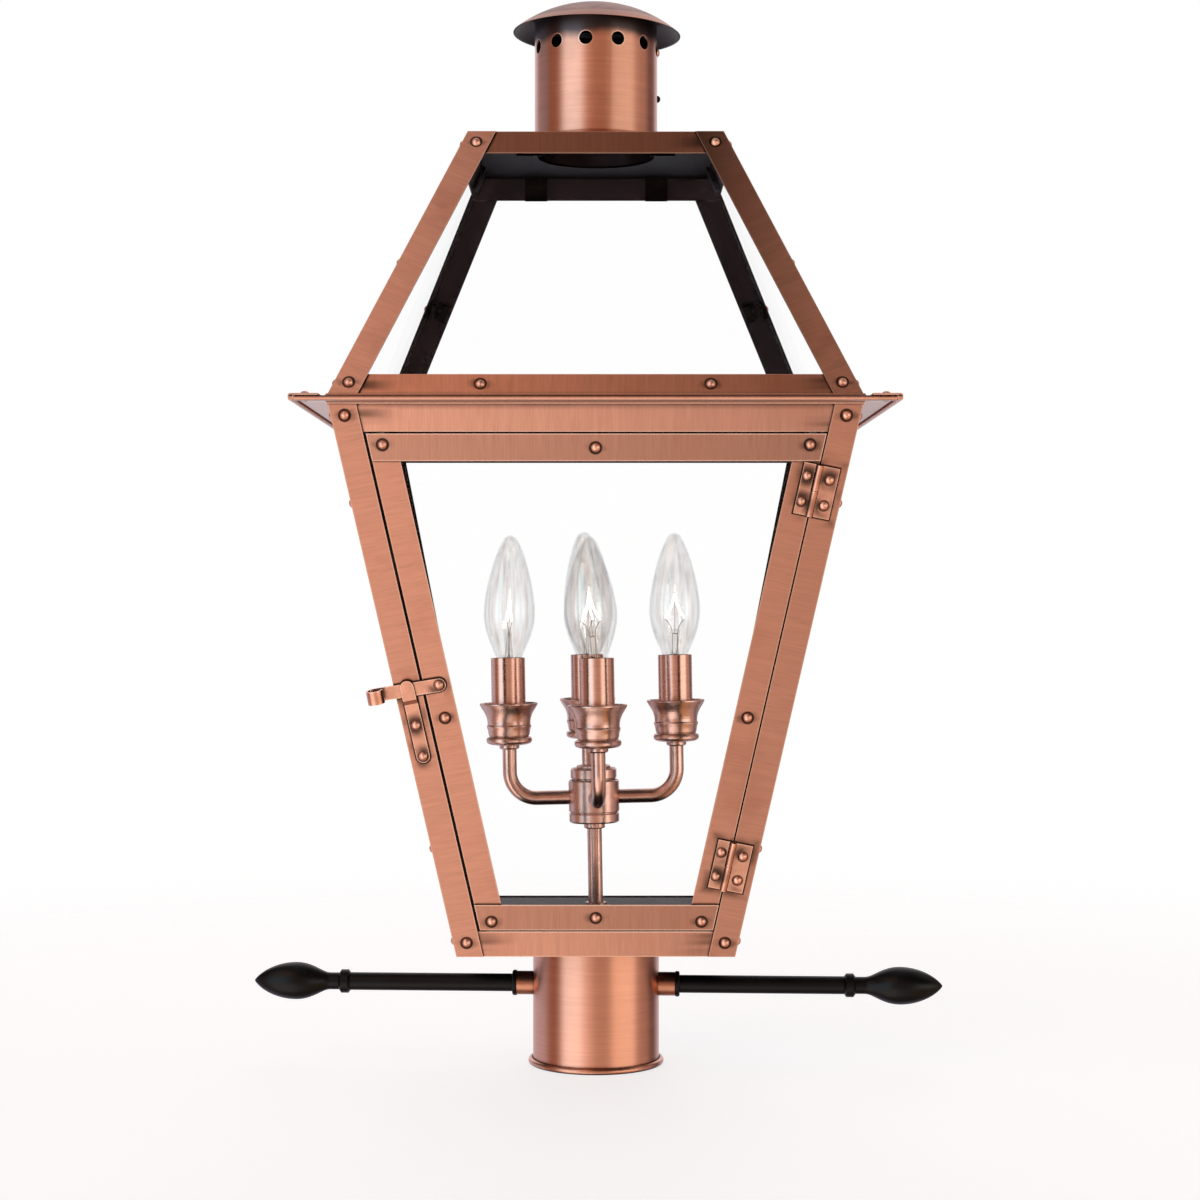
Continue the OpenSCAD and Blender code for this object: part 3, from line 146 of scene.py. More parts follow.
class Graph:
    """Short calls that add nodes to a material's or the world's tree."""

    def __init__(self, owner):
        owner.use_nodes = True
        self.tree = owner.node_tree
        self.tree.nodes.clear()

    def node(self, kind, inputs=None, **settings):
        made = self.tree.nodes.new(kind)
        for name, value in settings.items():
            setattr(made, name, value)
        for key, value in (inputs or {}).items():
            self.put(made.inputs[key], value)
        return made

    def put(self, socket, value):
        if isinstance(value, bpy.types.NodeSocket):
            self.tree.links.new(value, socket)
        elif isinstance(value, (tuple, list)) and len(socket.default_value) == 4 and len(value) == 3:
            socket.default_value = (*value, 1.0)
        else:
            socket.default_value = value

    def math(self, operation, *values, clamp=False):
        made = self.node("ShaderNodeMath", operation=operation, use_clamp=clamp)
        for socket, value in zip(made.inputs, values):
            self.put(socket, value)
        return made.outputs[0]

    def extreme(self, operation, values):
        """The least or the greatest of some values, by MINIMUM or MAXIMUM."""
        found, *others = values
        for value in others:
            found = self.math(operation, found, value)
        return found

    def vector(self, operation, *values):
        made = self.node("ShaderNodeVectorMath", operation=operation)
        for socket, value in zip(made.inputs, values):
            self.put(socket, value)
        return made.outputs["Value" if operation in ("LENGTH", "DISTANCE", "DOT_PRODUCT") else "Vector"]

    def combine(self, x, y, z):
        return self.node("ShaderNodeCombineXYZ", {"X": x, "Y": y, "Z": z}).outputs[0]

    def separate(self, value):
        return self.node("ShaderNodeSeparateXYZ", {"Vector": value}).outputs

    def fade(self, value, low, high, start=0.0, end=1.0):
        """start up to low, end from high on, and smooth between them."""
        made = self.node("ShaderNodeMapRange", {"Value": value, "From Min": low, "From Max": high,
                                                "To Min": start, "To Max": end},
                         interpolation_type="SMOOTHSTEP")
        return made.outputs["Result"]

    def mix(self, share, first, second, blend="MIX"):
        made = self.node("ShaderNodeMix", data_type="RGBA", blend_type=blend)
        self.put(made.inputs["Factor"], share)
        self.put(made.inputs[6], first)
        self.put(made.inputs[7], second)
        return made.outputs[2]

    def blend(self, share, first, second):
        made = self.node("ShaderNodeMix", data_type="FLOAT")
        self.put(made.inputs["Factor"], share)
        self.put(made.inputs[2], first)
        self.put(made.inputs[3], second)
        return made.outputs[0]

    def noise(self, vector, scale, detail=2.0, rough=0.5):
        return self.node("ShaderNodeTexNoise", {"Vector": vector, "Scale": scale, "Detail": detail,
                                                "Roughness": rough}).outputs["Fac"]


class Surface(Graph):
    """A material's tree that starts from the place and the normal on the object at rest."""

    def __init__(self, name):
        self.material = bpy.data.materials.new(name)
        super().__init__(self.material)
        spot = self.node("ShaderNodeTexCoord")
        self.place = spot.outputs["Object"]
        self.normal = spot.outputs["Normal"]
        self.x, self.y, self.z = self.separate(self.place)
        self.nx, self.ny, self.nz = self.separate(self.normal)

    def outward(self):
        """1 on what faces away from the lantern's axis, 0 on what faces it."""
        level = self.vector("MULTIPLY", self.place, (1.0, 1.0, 0.0))
        return self.fade(self.vector("DOT_PRODUCT", self.normal, self.vector("NORMALIZE", level)), -0.12, -0.02)

    def outer_edge(self, reach, near):
        """1 along the outer edges as far as reach, 0 on the flats and in corners, where near is low."""
        rounded = self.node("ShaderNodeBevel", {"Radius": reach}, samples=4).outputs[0]
        flat = self.node("ShaderNodeNewGeometry").outputs["Normal"]
        turned = self.fade(self.vector("DOT_PRODUCT", rounded, flat), 0.92, 0.998, 1.0, 0.0)
        return self.math("MULTIPLY", turned, self.fade(near, 0.62, 0.82))

    def metal(self, colour, roughness, bump=None, depth=0.00002, tangent=None, anisotropy=0.0, edge=None):
        """Metal with a brushed gloss set by tangent and anisotropy, rubbed bright and painted with a highlight where
        edge is 1.
        """
        colour = self.vector("MULTIPLY", colour, (METAL_SHARE,) * 3)
        if edge is not None:
            colour = self.mix(edge, colour, EDGE_WEAR_AND_HIGHLIGHT)
        shader = self.node("ShaderNodeBsdfPrincipled", {"Base Color": colour, "Metallic": 1.0,
                                                        "Roughness": roughness})
        shader.inputs["Anisotropic"].default_value = anisotropy
        if tangent is not None:
            turned = self.node("ShaderNodeVectorTransform", {"Vector": tangent}, vector_type="VECTOR",
                               convert_from="OBJECT", convert_to="WORLD").outputs[0]
            self.put(shader.inputs["Tangent"], turned)
        self.finish(shader, bump, depth)
        return self.material

    def finish(self, shader, bump=None, depth=0.00002):
        if bump is not None:
            raised = self.node("ShaderNodeBump", {"Height": bump, "Distance": depth, "Strength": 1.0})
            self.put(shader.inputs["Normal"], raised.outputs[0])
        out = self.node("ShaderNodeOutputMaterial")
        self.tree.links.new(shader.outputs[0], out.inputs["Surface"])


# ---------------------------------------------------------------- rivets, and the marks round them

def islands(node):
    """The middle of each separate solid of a CAD node, weighted towards its rivet head."""
    mesh = bmesh.new()
    mesh.from_mesh(nodes[node].data)
    bmesh.ops.remove_doubles(mesh, verts=mesh.verts, dist=WELD_REACH)
    seen, middles = set(), []
    for start in mesh.verts:
        if start in seen:
            continue
        seen.add(start)
        group, queue = [start.co.copy()], [start]
        while queue:
            for edge in queue.pop().link_edges:
                for vert in edge.verts:
                    if vert not in seen:
                        seen.add(vert)
                        group.append(vert.co.copy())
                        queue.append(vert)
        middles.append(sum(group, Vector()) / len(group))
    mesh.free()
    return middles


RIVETS = islands("frame_rivets") + islands("door_rivets") + islands("latch_pivot")


def rivets_on(node):
    """The rivets whose heads stand on a CAD node or close beside it."""
    mesh = bmesh.new()
    mesh.from_mesh(nodes[node].data)
    tree = BVHTree.FromBMesh(mesh)
    mesh.free()
    return [spot for spot in RIVETS if (tree.find_nearest(spot)[3] or 1) < RIVET_REACH]


def mark_distance(s, spots, warped):
    """Distance to the nearest rivet in reaches of a mark, which is longer sideways than upwards."""
    sideways = tuple(share / MARK_REACH for share in MARK_SHAPE)
    stretches = [sideways, (sideways[1], sideways[0], sideways[2])]
    places = [s.vector("MULTIPLY", warped, stretch) for stretch in stretches]
    distances = []
    for spot in spots:
        turned = abs(spot.x) > abs(spot.y)
        centre = tuple(a * b for a, b in zip(spot, stretches[turned]))
        distances.append(s.vector("DISTANCE", places[turned], centre))
    return s.extreme("MINIMUM", distances)


def ring_distance(s, spots):
    """Distance to the nearest rivet, in metres."""
    return s.extreme("MINIMUM", [s.vector("DISTANCE", s.place, tuple(spot)) for spot in spots])


def rivet_marks(s, spots, streak):
    """Patina round the rivets: smudges that the brush drew out sideways, and a black ring under each head that is
    patina and painted shade.
    """
    wander = s.node("ShaderNodeTexNoise", {"Vector": s.place, "Scale": 150.0, "Detail": 2.0}).outputs["Color"]
    wander = s.vector("MULTIPLY", s.vector("SUBTRACT", wander, (0.5, 0.5, 0.5)), MARK_WANDER)
    warped = s.vector("ADD", s.place, wander)
    strength = s.fade(s.noise(s.place, 37.0, 1.0), 0.30, 0.66, 0.30, 0.85)
    smudge = s.math("MULTIPLY", s.fade(mark_distance(s, spots, warped), 0.28, 1.0, 1.0, 0.0), strength)
    smudge = s.math("MULTIPLY", smudge, s.fade(streak, 0.2, 0.8, 1.0, 0.7))
    return s.math("MAXIMUM", smudge, s.fade(ring_distance(s, spots), *STRAP_RING, 1.0, 0.0))


# ---------------------------------------------------------------- marks beside seams and fittings

def seam_smear(s, side, face):
    """Dark patina that the brush left on a rail beside the corner straps that lap it."""
    foot, half_width, growth = face
    half = s.math("ADD", half_width, s.math("MULTIPLY", s.math("SUBTRACT", s.z, foot), growth))
    inward = s.math("SUBTRACT", s.math("SUBTRACT", half, STRAP_WIDTH), s.math("ABSOLUTE", side))
    bands = s.noise(s.combine(s.math("MULTIPLY", side, 7.0), 0.0, s.math("MULTIPLY", s.z, 120.0)), 1.0, 1.0)
    reach = s.fade(inward, 0.0, SEAM_REACH, 1.0, 0.0)
    return s.math("MULTIPLY", s.math("POWER", reach, 1.5), s.fade(bands, 0.42, 0.72, 0.0, 0.80))


def height_shade(s, height, reach, strength):
    """Uneven painted shade that darkens a strap towards a height, such as the eave's shadow on the rail below it."""
    gap = s.math("ABSOLUTE", s.math("SUBTRACT", s.z, height))
    uneven = s.math("ADD", 0.65, s.math("MULTIPLY", s.noise(s.place, 55.0), 0.6))
    return s.math("MULTIPLY", s.fade(gap, 0.0, reach, strength, 0.0), uneven)


def capsule_distance(s, start, end, radius):
    """Distance on the front face to a flat bar with round ends, whose middle line runs between sides and heights."""
    place = s.combine(s.x, s.math("MULTIPLY", s.z, FACE_SLOPE), 0.0)
    a, b = (Vector((side, height * FACE_SLOPE, 0.0)) for side, height in (start, end))
    run = b - a
    share = s.vector("DOT_PRODUCT", s.vector("SUBTRACT", place, tuple(a)), tuple(run / run.length_squared))
    share = s.math("MULTIPLY", share, 1.0, clamp=True)
    nearest = s.vector("ADD", tuple(a), s.vector("MULTIPLY", tuple(run), s.combine(share, share, share)))
    return s.math("SUBTRACT", s.vector("DISTANCE", place, nearest), radius)


def hinge_distance(s, middle):
    """Distance on the front face to the leaves of the hinge at a side and a height."""
    lean, rise = math.cos(BODY_CORNER_LEAN), math.sin(BODY_CORNER_LEAN)
    sideways = s.math("SUBTRACT", s.x, middle[0])
    upwards = s.math("MULTIPLY", s.math("SUBTRACT", s.z, middle[1]), FACE_SLOPE)
    across = s.math("SUBTRACT", s.math("MULTIPLY", sideways, lean), s.math("MULTIPLY", upwards, rise))
    along = s.math("ADD", s.math("MULTIPLY", sideways, rise), s.math("MULTIPLY", upwards, lean))
    across = s.math("SUBTRACT", s.math("ABSOLUTE", s.math("SUBTRACT", across, HINGE_MIDDLE)), HINGE_HALVES[0])
    return s.math("MAXIMUM", across, s.math("SUBTRACT", s.math("ABSOLUTE", along), HINGE_HALVES[1]))


def fitting_marks(s, node):
    """Patina on a strap round the hinges, the keeper and the lever that lie on it, with a crisp outline of patina
    and painted shadow at their edges, or None where none does.
    """
    gaps = []
    if node in ("corner_post_front_right", "door_stiles"):
        gaps += [hinge_distance(s, middle) for middle in HINGES]
    if node in ("corner_post_front_left", "door_stiles"):
        gaps += [capsule_distance(s, *bar) for bar in LATCH_BARS]
    if not gaps:
        return None
    gap = s.extreme("MINIMUM", gaps)
    patchy = s.fade(s.noise(s.place, 60.0, 1.0), 0.38, 0.62)
    halo = s.math("MULTIPLY", s.fade(gap, 0.0, FITTING_HALO, 0.75, 0.0), patchy)
    return s.math("MAXIMUM", halo, s.fade(gap, *FITTING_OUTLINE, 1.0, 0.0))


# ---------------------------------------------------------------- metals

def strap_axes(s, grain, along):
    """A strap's coordinates sideways, along its length and across it, and the tangent of its brushing."""
    if along is None:
        faces_side = s.math("GREATER_THAN", s.math("ABSOLUTE", s.nx), s.math("ABSOLUTE", s.ny))
        side = s.blend(faces_side, s.x, s.y)
    else:
        side = s.x if along == "x" else s.y
    level = s.vector("NORMALIZE", s.vector("CROSS_PRODUCT", (0.0, 0.0, 1.0), s.normal))
    if grain == "rail":
        return side, side, s.z, level
    lean = BODY_CORNER_LEAN if grain == "post" else -ROOF_CORNER_LEAN
    length = s.math("ADD", s.math("MULTIPLY", s.z, math.cos(lean)),
                    s.math("MULTIPLY", s.math("ABSOLUTE", side), math.sin(lean)))
    upward = s.vector("CROSS_PRODUCT", s.normal, level)
    out = s.math("MULTIPLY", s.math("SIGN", side), math.sin(lean))
    facing = s.math("SIGN", s.vector("DOT_PRODUCT", level, (1.0, 1.0, 0.0)))
    sideways = s.math("MULTIPLY", out, facing)
    tangent = s.vector("ADD", s.vector("MULTIPLY", upward, (math.cos(lean),) * 3),
                       s.vector("MULTIPLY", level, s.combine(sideways, sideways, sideways)))
    return side, length, side, tangent


def eave_folds(s, colour, farthest):
    """The darker lip and upper side of an eave, and a line of painted shade in the fold of its hem."""
    lip = s.math("MULTIPLY", s.fade(s.z, EAVE_HEIGHT - 0.0004, EAVE_HEIGHT, 1.0, 0.0),
                 s.fade(farthest, 0.160, 0.165, 1.0, 0.0))
    colour = s.mix(lip, colour, LIP_COPPER)
    # Painted shade in the fold of the hem
    fold = s.fade(s.math("ABSOLUTE", s.math("SUBTRACT", s.z, HEM_FOLD)), 0.0002, 0.0006, 1.0, 0.0)
    fold = s.math("MULTIPLY", fold, s.fade(farthest, 0.168, 0.170))
    above = s.math("MULTIPLY", s.fade(s.z, HEM_FOLD, HEM_FOLD + 0.0005), s.fade(s.nz, 0.80, 0.95, 1.0, 0.0))
    return s.mix(s.math("MULTIPLY", above, 0.6), colour, LIP_COPPER), fold


def brushed_strap(name, node, grain, along=None, tone=(1.0, 0.0), face=None, shades=()):
    """Copper strap brushed along fine lines. grain is rail, post or hip; along fixes the axis it runs on.

    tone is painted light and shade: how light the metal is painted in the middle of the front, and how much lighter
    a metre to the right.
    face is the flared face that a rail lies on between corner straps.
    shades are heights with a reach and a strength, towards which painted shade darkens the strap.
    """
    s = Surface(name)
    eave = node.startswith("eave")
    side, length, across, tangent = strap_axes(s, grain, along)

    def lines(along_scale, across_scale, shift, detail=2.0):
        return s.noise(s.combine(s.math("MULTIPLY", length, along_scale), s.math("MULTIPLY", across, across_scale),
                                 shift), 1.0, detail)

    fine, broad, hair = lines(1500.0, 55.0, 0.0), lines(300.0, 16.0, 3.0), lines(3600.0, 110.0, 7.0, 1.0)
    scratch = s.fade(lines(850.0, 60.0, 11.0), 0.62, 0.76)
    cloud = s.noise(s.place, 24.0, 3.0, 0.6)
    streak = s.math("ADD", s.math("MULTIPLY", fine, 0.6), s.math("MULTIPLY", broad, 0.4))

    # Painted light and shade: the tone lightens or darkens the front faces, more towards one side; other faces get a
    # fixed lightness
    in_front = s.fade(s.ny, -0.55, -0.35, 1.0, 0.0)
    lightness = s.math("ADD", tone[0], s.math("MULTIPLY", s.x, tone[1]))
    lightness = s.math("MINIMUM", lightness, LIGHTEST_PAINTED_LIGHT)
    lightness = s.blend(in_front, min(1.0, 0.5 + 0.5 * abs(tone[0])), lightness)
    lightness = s.math("MULTIPLY", lightness, s.fade(streak, 0.30, 0.72, 0.89, 1.07))
    colour = s.vector("MULTIPLY", COPPER, s.combine(lightness, lightness, lightness))
    colour = s.mix(s.math("MULTIPLY", scratch, 0.24), colour, COPPER_DARK)
    colour = s.mix(s.fade(cloud, 0.50, 0.80, 0.0, 0.34), colour, COPPER_DARK)
    # Downward faces paler: less patina, and a painted reflection of the bright floor
    colour = s.mix(s.fade(s.nz, -0.70, -0.45, 1.0, 0.0), colour, PALE_UNDERSIDE_AND_FLOOR_SHEEN)

    # Dark lines where parts lap and meet: patina and painted shade, from ambient occlusion
    near = s.node("ShaderNodeAmbientOcclusion", {"Distance": SEAM_PATINA_AND_SHADE}, samples=8).outputs["AO"]
    uneven = s.math("MULTIPLY", s.noise(s.place, 420.0, 2.0), 0.05)
    marks = [s.fade(s.math("SUBTRACT", near, uneven), 0.58, 0.84, 1.0, 0.0)]
    farthest = s.math("MAXIMUM", s.math("ABSOLUTE", s.x), s.math("ABSOLUTE", s.y))
    if eave:
        colour, fold = eave_folds(s, colour, farthest)
        marks.append(fold)
    spots = rivets_on(node)
    if spots:
        marks.append(rivet_marks(s, spots, streak))
    if face is not None:
        marks.append(seam_smear(s, side, face))
    # Patina round the fittings, with an outline of patina and painted shadow at their edges
    outline = fitting_marks(s, node)
    if outline is not None:
        marks.append(s.math("MULTIPLY", outline, in_front))
    marks += [height_shade(s, *shade) for shade in shades]
    dark = s.extreme("MAXIMUM", marks)
    colour = s.mix(s.math("MULTIPLY", dark, 0.93, clamp=True), colour, DARK_PATINA_AND_SHADE)

    inner = s.math("SUBTRACT", 1.0, s.outward())
    if eave:
        inner = s.math("MULTIPLY", inner, s.fade(farthest, 0.150, 0.156, 1.0, 0.0))
    inside = INSIDE
    if node.startswith("hip_rear"):
        inside = s.mix(s.math("GREATER_THAN", s.math("ABSOLUTE", s.nx), s.math("ABSOLUTE", s.ny)), INSIDE, MILL_GREY)
    colour = s.mix(inner, colour, inside)
    rough = s.math("ADD", 0.35, s.math("MULTIPLY", streak, 0.08))
    rough = s.math("ADD", rough, s.math("MULTIPLY", s.math("MAXIMUM", dark, inner), 0.16))
    bump = s.math("ADD", s.math("MULTIPLY", hair, 0.5), s.math("MULTIPLY", fine, 0.5))
    # Outer edges: wear, and a painted highlight along the rounded edges
    edge = s.math("MULTIPLY", s.outer_edge(STRAP_EDGE_WEAR_AND_HIGHLIGHT, near), s.math("SUBTRACT", 1.0, inner))
    edge = s.math("MULTIPLY", edge, 0.85)
    return s.metal(colour, rough, bump, 0.000008, tangent, 0.80, edge)


def vent_rims(s):
    """1 on the bright rims of the chimney's vents."""
    turn = s.math("ARCTAN2", s.x, s.math("MULTIPLY", s.y, -1.0))
    step = 2 * math.pi / VENTS
    part = s.math("SUBTRACT", turn, math.radians(VENT_TURN) - step / 2)
    part = s.math("SUBTRACT", s.math("FLOORED_MODULO", part, step), step / 2)
    sideways = s.math("MULTIPLY", part, CHIMNEY_RADIUS)
    upwards = s.math("SUBTRACT", s.z, VENT_HEIGHT)
    return s.fade(s.vector("LENGTH", s.combine(sideways, upwards, 0.0)), *VENT_RIM, 1.0, 0.0)


def brushed_tube(name, tone=COPPER, stain=0.0, dark_inside=True, roughness=0.30, shaded_top=False):
    """Copper tube brushed round its axis, which is upright. A top darkened under the cap by painted shade and patina
    also has vents with bright rims.
    """
    s = Surface(name)
    fine = s.noise(s.vector("MULTIPLY", s.place, (40.0, 40.0, 1500.0)), 1.0)
    broad = s.noise(s.vector("MULTIPLY", s.place, (14.0, 14.0, 300.0)), 1.0)
    cloud = s.noise(s.place, 30.0, 3.0, 0.6)
    streak = s.math("ADD", s.math("MULTIPLY", fine, 0.6), s.math("MULTIPLY", broad, 0.4))
    colour = s.mix(s.fade(streak, 0.30, 0.70), scaled(tone, 0.91), scaled(tone, 1.05))
    # Patina and painted shade near other parts, from ambient occlusion
    near = s.node("ShaderNodeAmbientOcclusion", {"Distance": 0.003}, samples=6).outputs["AO"]
    uneven = s.math("MULTIPLY", s.noise(s.place, 380.0), 0.14)
    dark = s.fade(s.math("SUBTRACT", near, uneven), 0.34, 0.66, 1.0, 0.0)
    if stain:
        dark = s.math("MAXIMUM", dark, s.fade(cloud, 0.50, 0.72, 0.0, stain))
    colour = s.mix(s.math("MULTIPLY", dark, 0.92), colour, DARK_PATINA_AND_SHADE)
    if shaded_top:
        # Painted shade and patina under the cap, with a mottled lower edge
        mottle = s.math("ADD", s.z, s.math("MULTIPLY", s.math("SUBTRACT", cloud, 0.5), 0.012))
        colour = s.mix(s.fade(mottle, TOP_SHADE_HEIGHT - TOP_SHADE_FADE, TOP_SHADE_HEIGHT), colour, CHIMNEY_TOP_SHADE_AND_PATINA)
        colour = s.mix(vent_rims(s), colour, COPPER_WORN)
    rough = s.math("ADD", roughness, s.math("MULTIPLY", streak, 0.08))
    if dark_inside:
        inner = s.math("SUBTRACT", 1.0, s.outward())
        colour = s.mix(inner, colour, INSIDE)
        rough = s.math("ADD", rough, s.math("MULTIPLY", inner, 0.15))
    return s.metal(colour, rough, fine, 0.000010, (0.0, 0.0, 1.0), 0.75)


def worked_copper(name, tone=COPPER, groove=0.0045, dirt=0.9, roughness=0.27, spots=(), edge_wear_and_highlight=0.0, dark_inside=False):
    """Small turned, cast or folded copper with dark patina left in its corners and round the rivets at spots.

    groove is how wide a corner still holds patina, and dirt how much of it.
    worn is how far its outer edges are rubbed bright and painted with a highlight.
    """
    s = Surface(name)
    cloud = s.noise(s.place, 90.0, 3.0, 0.6)
    grain = s.noise(s.place, 900.0)
    near = s.node("ShaderNodeAmbientOcclusion", {"Distance": groove}, samples=8).outputs["AO"]
    dark = s.fade(s.math("SUBTRACT", near, s.math("MULTIPLY", cloud, 0.10)), 0.36, 0.70, 1.0, 0.0)
    if spots:
        distance = ring_distance(s, spots)
        patchy = s.fade(s.noise(s.place, 70.0, 1.0), 0.34, 0.56)
        halo = s.math("MULTIPLY", s.fade(distance, *FITTING_RIVET_HALO, 1.0, 0.0), patchy)
        # The ring under each rivet head is patina and painted shade; the halo is patina
        dark = s.extreme("MAXIMUM", [dark, halo, s.fade(distance, *FITTING_RING, 1.0, 0.0)])
    colour = s.mix(s.fade(cloud, 0.30, 0.70), scaled(tone, 0.84), scaled(tone, 1.08))
    colour = s.mix(s.math("MULTIPLY", dark, dirt), colour, DARK_PATINA_AND_SHADE)
    if dark_inside:
        colour = s.mix(s.outward(), INSIDE, colour)
    rough = s.math("ADD", roughness, s.math("MULTIPLY", grain, 0.10))
    edge = s.math("MULTIPLY", s.outer_edge(edge_wear_and_highlight, near), s.outward()) if edge_wear_and_highlight else None
    return s.metal(colour, rough, grain, edge=edge)


def cap_metal():
    """The rain cap's brown top, its lighter shoulder, its bright rim and its dark underside."""
    s = Surface("cap copper")
    radial = s.vector("LENGTH", s.combine(s.math("ADD", s.x, CAP_SHIFT), s.y, 0.0))
    cloud = s.noise(s.place, 34.0, 4.0, 0.6)
    fine = s.noise(s.place, 700.0)
    shoulder = s.fade(radial, CAP_RADIUS - 0.0080, CAP_RADIUS - 0.0050)
    rim = s.fade(radial, CAP_RADIUS - 0.0010, CAP_RADIUS - 0.0005)
    colour = s.mix(s.fade(cloud, 0.35, 0.68), (0.36, 0.24, 0.215), (0.58, 0.37, 0.325))
    colour = s.mix(shoulder, colour, (0.74, 0.44, 0.36))
    colour = s.mix(rim, colour, COPPER)
    colour = s.mix(s.fade(s.nz, -0.25, -0.05, 1.0, 0.0), colour, (0.050, 0.030, 0.027))
    return s.metal(colour, s.math("ADD", 0.44, s.math("MULTIPLY", fine, 0.08)), fine)


def blackened(name, colour=SOOT, roughness=0.46):
    """Copper sheet blackened by soot, with a smoky sheen."""
    s = Surface(name)
    mottle = s.noise(s.vector("MULTIPLY", s.place, (18.0, 18.0, 60.0)), 1.0, 4.0, 0.65)
    tint = s.mix(s.fade(mottle, 0.38, 0.74), scaled(colour, 0.55), scaled(colour, 1.8))
    return s.metal(tint, s.math("ADD", roughness, s.math("MULTIPLY", mottle, 0.15)), s.noise(s.place, 800.0))


def black_paint():
    """Satin black paint with a faint orange peel and some dust."""
    s = Surface("satin black paint")
    dust = s.noise(s.place, 60.0, 3.0)
    shader = s.node("ShaderNodeBsdfPrincipled", {
        "Base Color": s.mix(s.fade(dust, 0.4, 0.75), BLACK, scaled(BLACK, 1.7)),
        "Roughness": s.math("ADD", 0.30, s.math("MULTIPLY", dust, 0.10)),
        "Specular IOR Level": 0.20})
    s.finish(shader, s.noise(s.place, 650.0))
    return s.material


def brass_metal():
    """The bulbs' screw bases."""
    s = Surface("nickelled brass")
    grain = s.noise(s.place, 700.0)
    colour = s.mix(grain, (0.62, 0.50, 0.30), (0.78, 0.68, 0.46))
    return s.metal(colour, s.math("ADD", 0.22, s.math("MULTIPLY", grain, 0.1)), grain, 0.00001)


def socket_plastic():
    """The brown plastic of the lamp sockets."""
    s = Surface("socket phenolic")
    grain = s.noise(s.place, 500.0, 3.0)
    colour = s.mix(grain, (0.10, 0.045, 0.022), (0.16, 0.075, 0.035))
    shader = s.node("ShaderNodeBsdfPrincipled", {
        "Base Color": colour, "Roughness": s.math("ADD", 0.38, s.math("MULTIPLY", grain, 0.1))})
    s.finish(shader, grain, 0.00003)
    return s.material


# ---------------------------------------------------------------- glass and light

FILAMENT_GLOW = 9.0


def pane_glass(name, gleam):
    """Clear sheet glass: see-through face on, more mirror-like as it turns away by gleam."""
    s = Surface(name)
    speck = s.fade(s.noise(s.place, 520.0, 1.0), 0.80, 0.86)
    edge = s.node("ShaderNodeLayerWeight", {"Blend": 0.5}).outputs["Facing"]
    opacity = s.math("ADD", 0.003, s.math("MULTIPLY", s.math("POWER", edge, 3.5), gleam))
    opacity = s.math("ADD", opacity, s.math("MULTIPLY", speck, 0.03), clamp=True)
    shader = s.node("ShaderNodeBsdfPrincipled", {"Base Color": (0.64, 0.66, 0.67), "Metallic": 1.0,
                                                 "Alpha": opacity, "Roughness": 0.0})
    s.finish(shader)
    return s.material


def bulb_glass():
    """Thin clear glass that greys what it covers, with upright streaks, a dark outline and a middle left clearer as
    a painted glow round the filament.
    """
    s = Surface("bulb glass")
    streak = s.noise(s.vector("MULTIPLY", s.place, (330.0, 330.0, 7.0)), 1.0, 2.0, 0.6)
    edge = s.node("ShaderNodeLayerWeight", {"Blend": 0.5}).outputs["Facing"]
    rim = s.math("POWER", edge, 13.0)
    foot = CLUSTER_FLOOR + LAMP_FOOT
    # Painted glow: the glass is clearer round the filament's height
    glow_clearing = s.math("MULTIPLY", s.fade(s.z, foot + 0.016, foot + 0.032),
                 s.fade(s.z, foot + 0.044, foot + 0.060, 1.0, 0.0))
    glow_clearing = s.math("MULTIPLY", glow_clearing, s.fade(edge, 0.02, 0.34, 1.0, 0.0))
    body = s.math("ADD", 0.078, s.math("MULTIPLY", s.fade(streak, 0.46, 0.66), 0.090))
    body = s.math("MULTIPLY", body, s.fade(glow_clearing, 0.0, 1.0, 1.0, 0.80))
    opacity = s.math("ADD", body, s.math("MULTIPLY", rim, 0.95), clamp=True)
    tint = s.mix(s.fade(edge, 0.72, 0.93), (0.62, 0.62, 0.60), (0.15, 0.135, 0.13))
    shader = s.node("ShaderNodeBsdfPrincipled", {"Base Color": tint, "Metallic": 1.0, "Alpha": opacity,
                                                 "Roughness": s.math("ADD", 0.04, s.math("MULTIPLY", streak, 0.05))})
    shader.inputs["Specular Tint"].default_value = (0.55, 0.52, 0.50, 1.0)
    s.finish(shader)
    return s.material


def mount_glass():
    """The drawn glass of a lamp's mount, which shows mostly as brownish outlines."""
    s = Surface("mount glass")
    ripple = s.noise(s.vector("MULTIPLY", s.place, (500.0, 500.0, 90.0)), 1.0, 2.0)
    edge = s.node("ShaderNodeLayerWeight", {"Blend": 0.5}).outputs["Facing"]
    opacity = s.math("ADD", 0.10, s.math("MULTIPLY", s.math("POWER", edge, 2.5), 0.75), clamp=True)
    tint = s.mix(s.fade(ripple, 0.35, 0.65), (0.44, 0.32, 0.28), (0.69, 0.64, 0.61))
    shader = s.node("ShaderNodeBsdfPrincipled", {"Base Color": tint, "Metallic": 1.0, "Alpha": opacity,
                                                 "Roughness": 0.10})
    s.finish(shader, ripple, 0.0001)
    return s.material


def wire_metal():
    """The leads' dull wire."""
    s = Surface("lead wire")
    grain = s.noise(s.place, 900.0)
    colour = s.mix(grain, (0.20, 0.12, 0.09), (0.42, 0.30, 0.25))
    return s.metal(colour, s.math("ADD", 0.30, s.math("MULTIPLY", grain, 0.15)), grain, 0.00001)


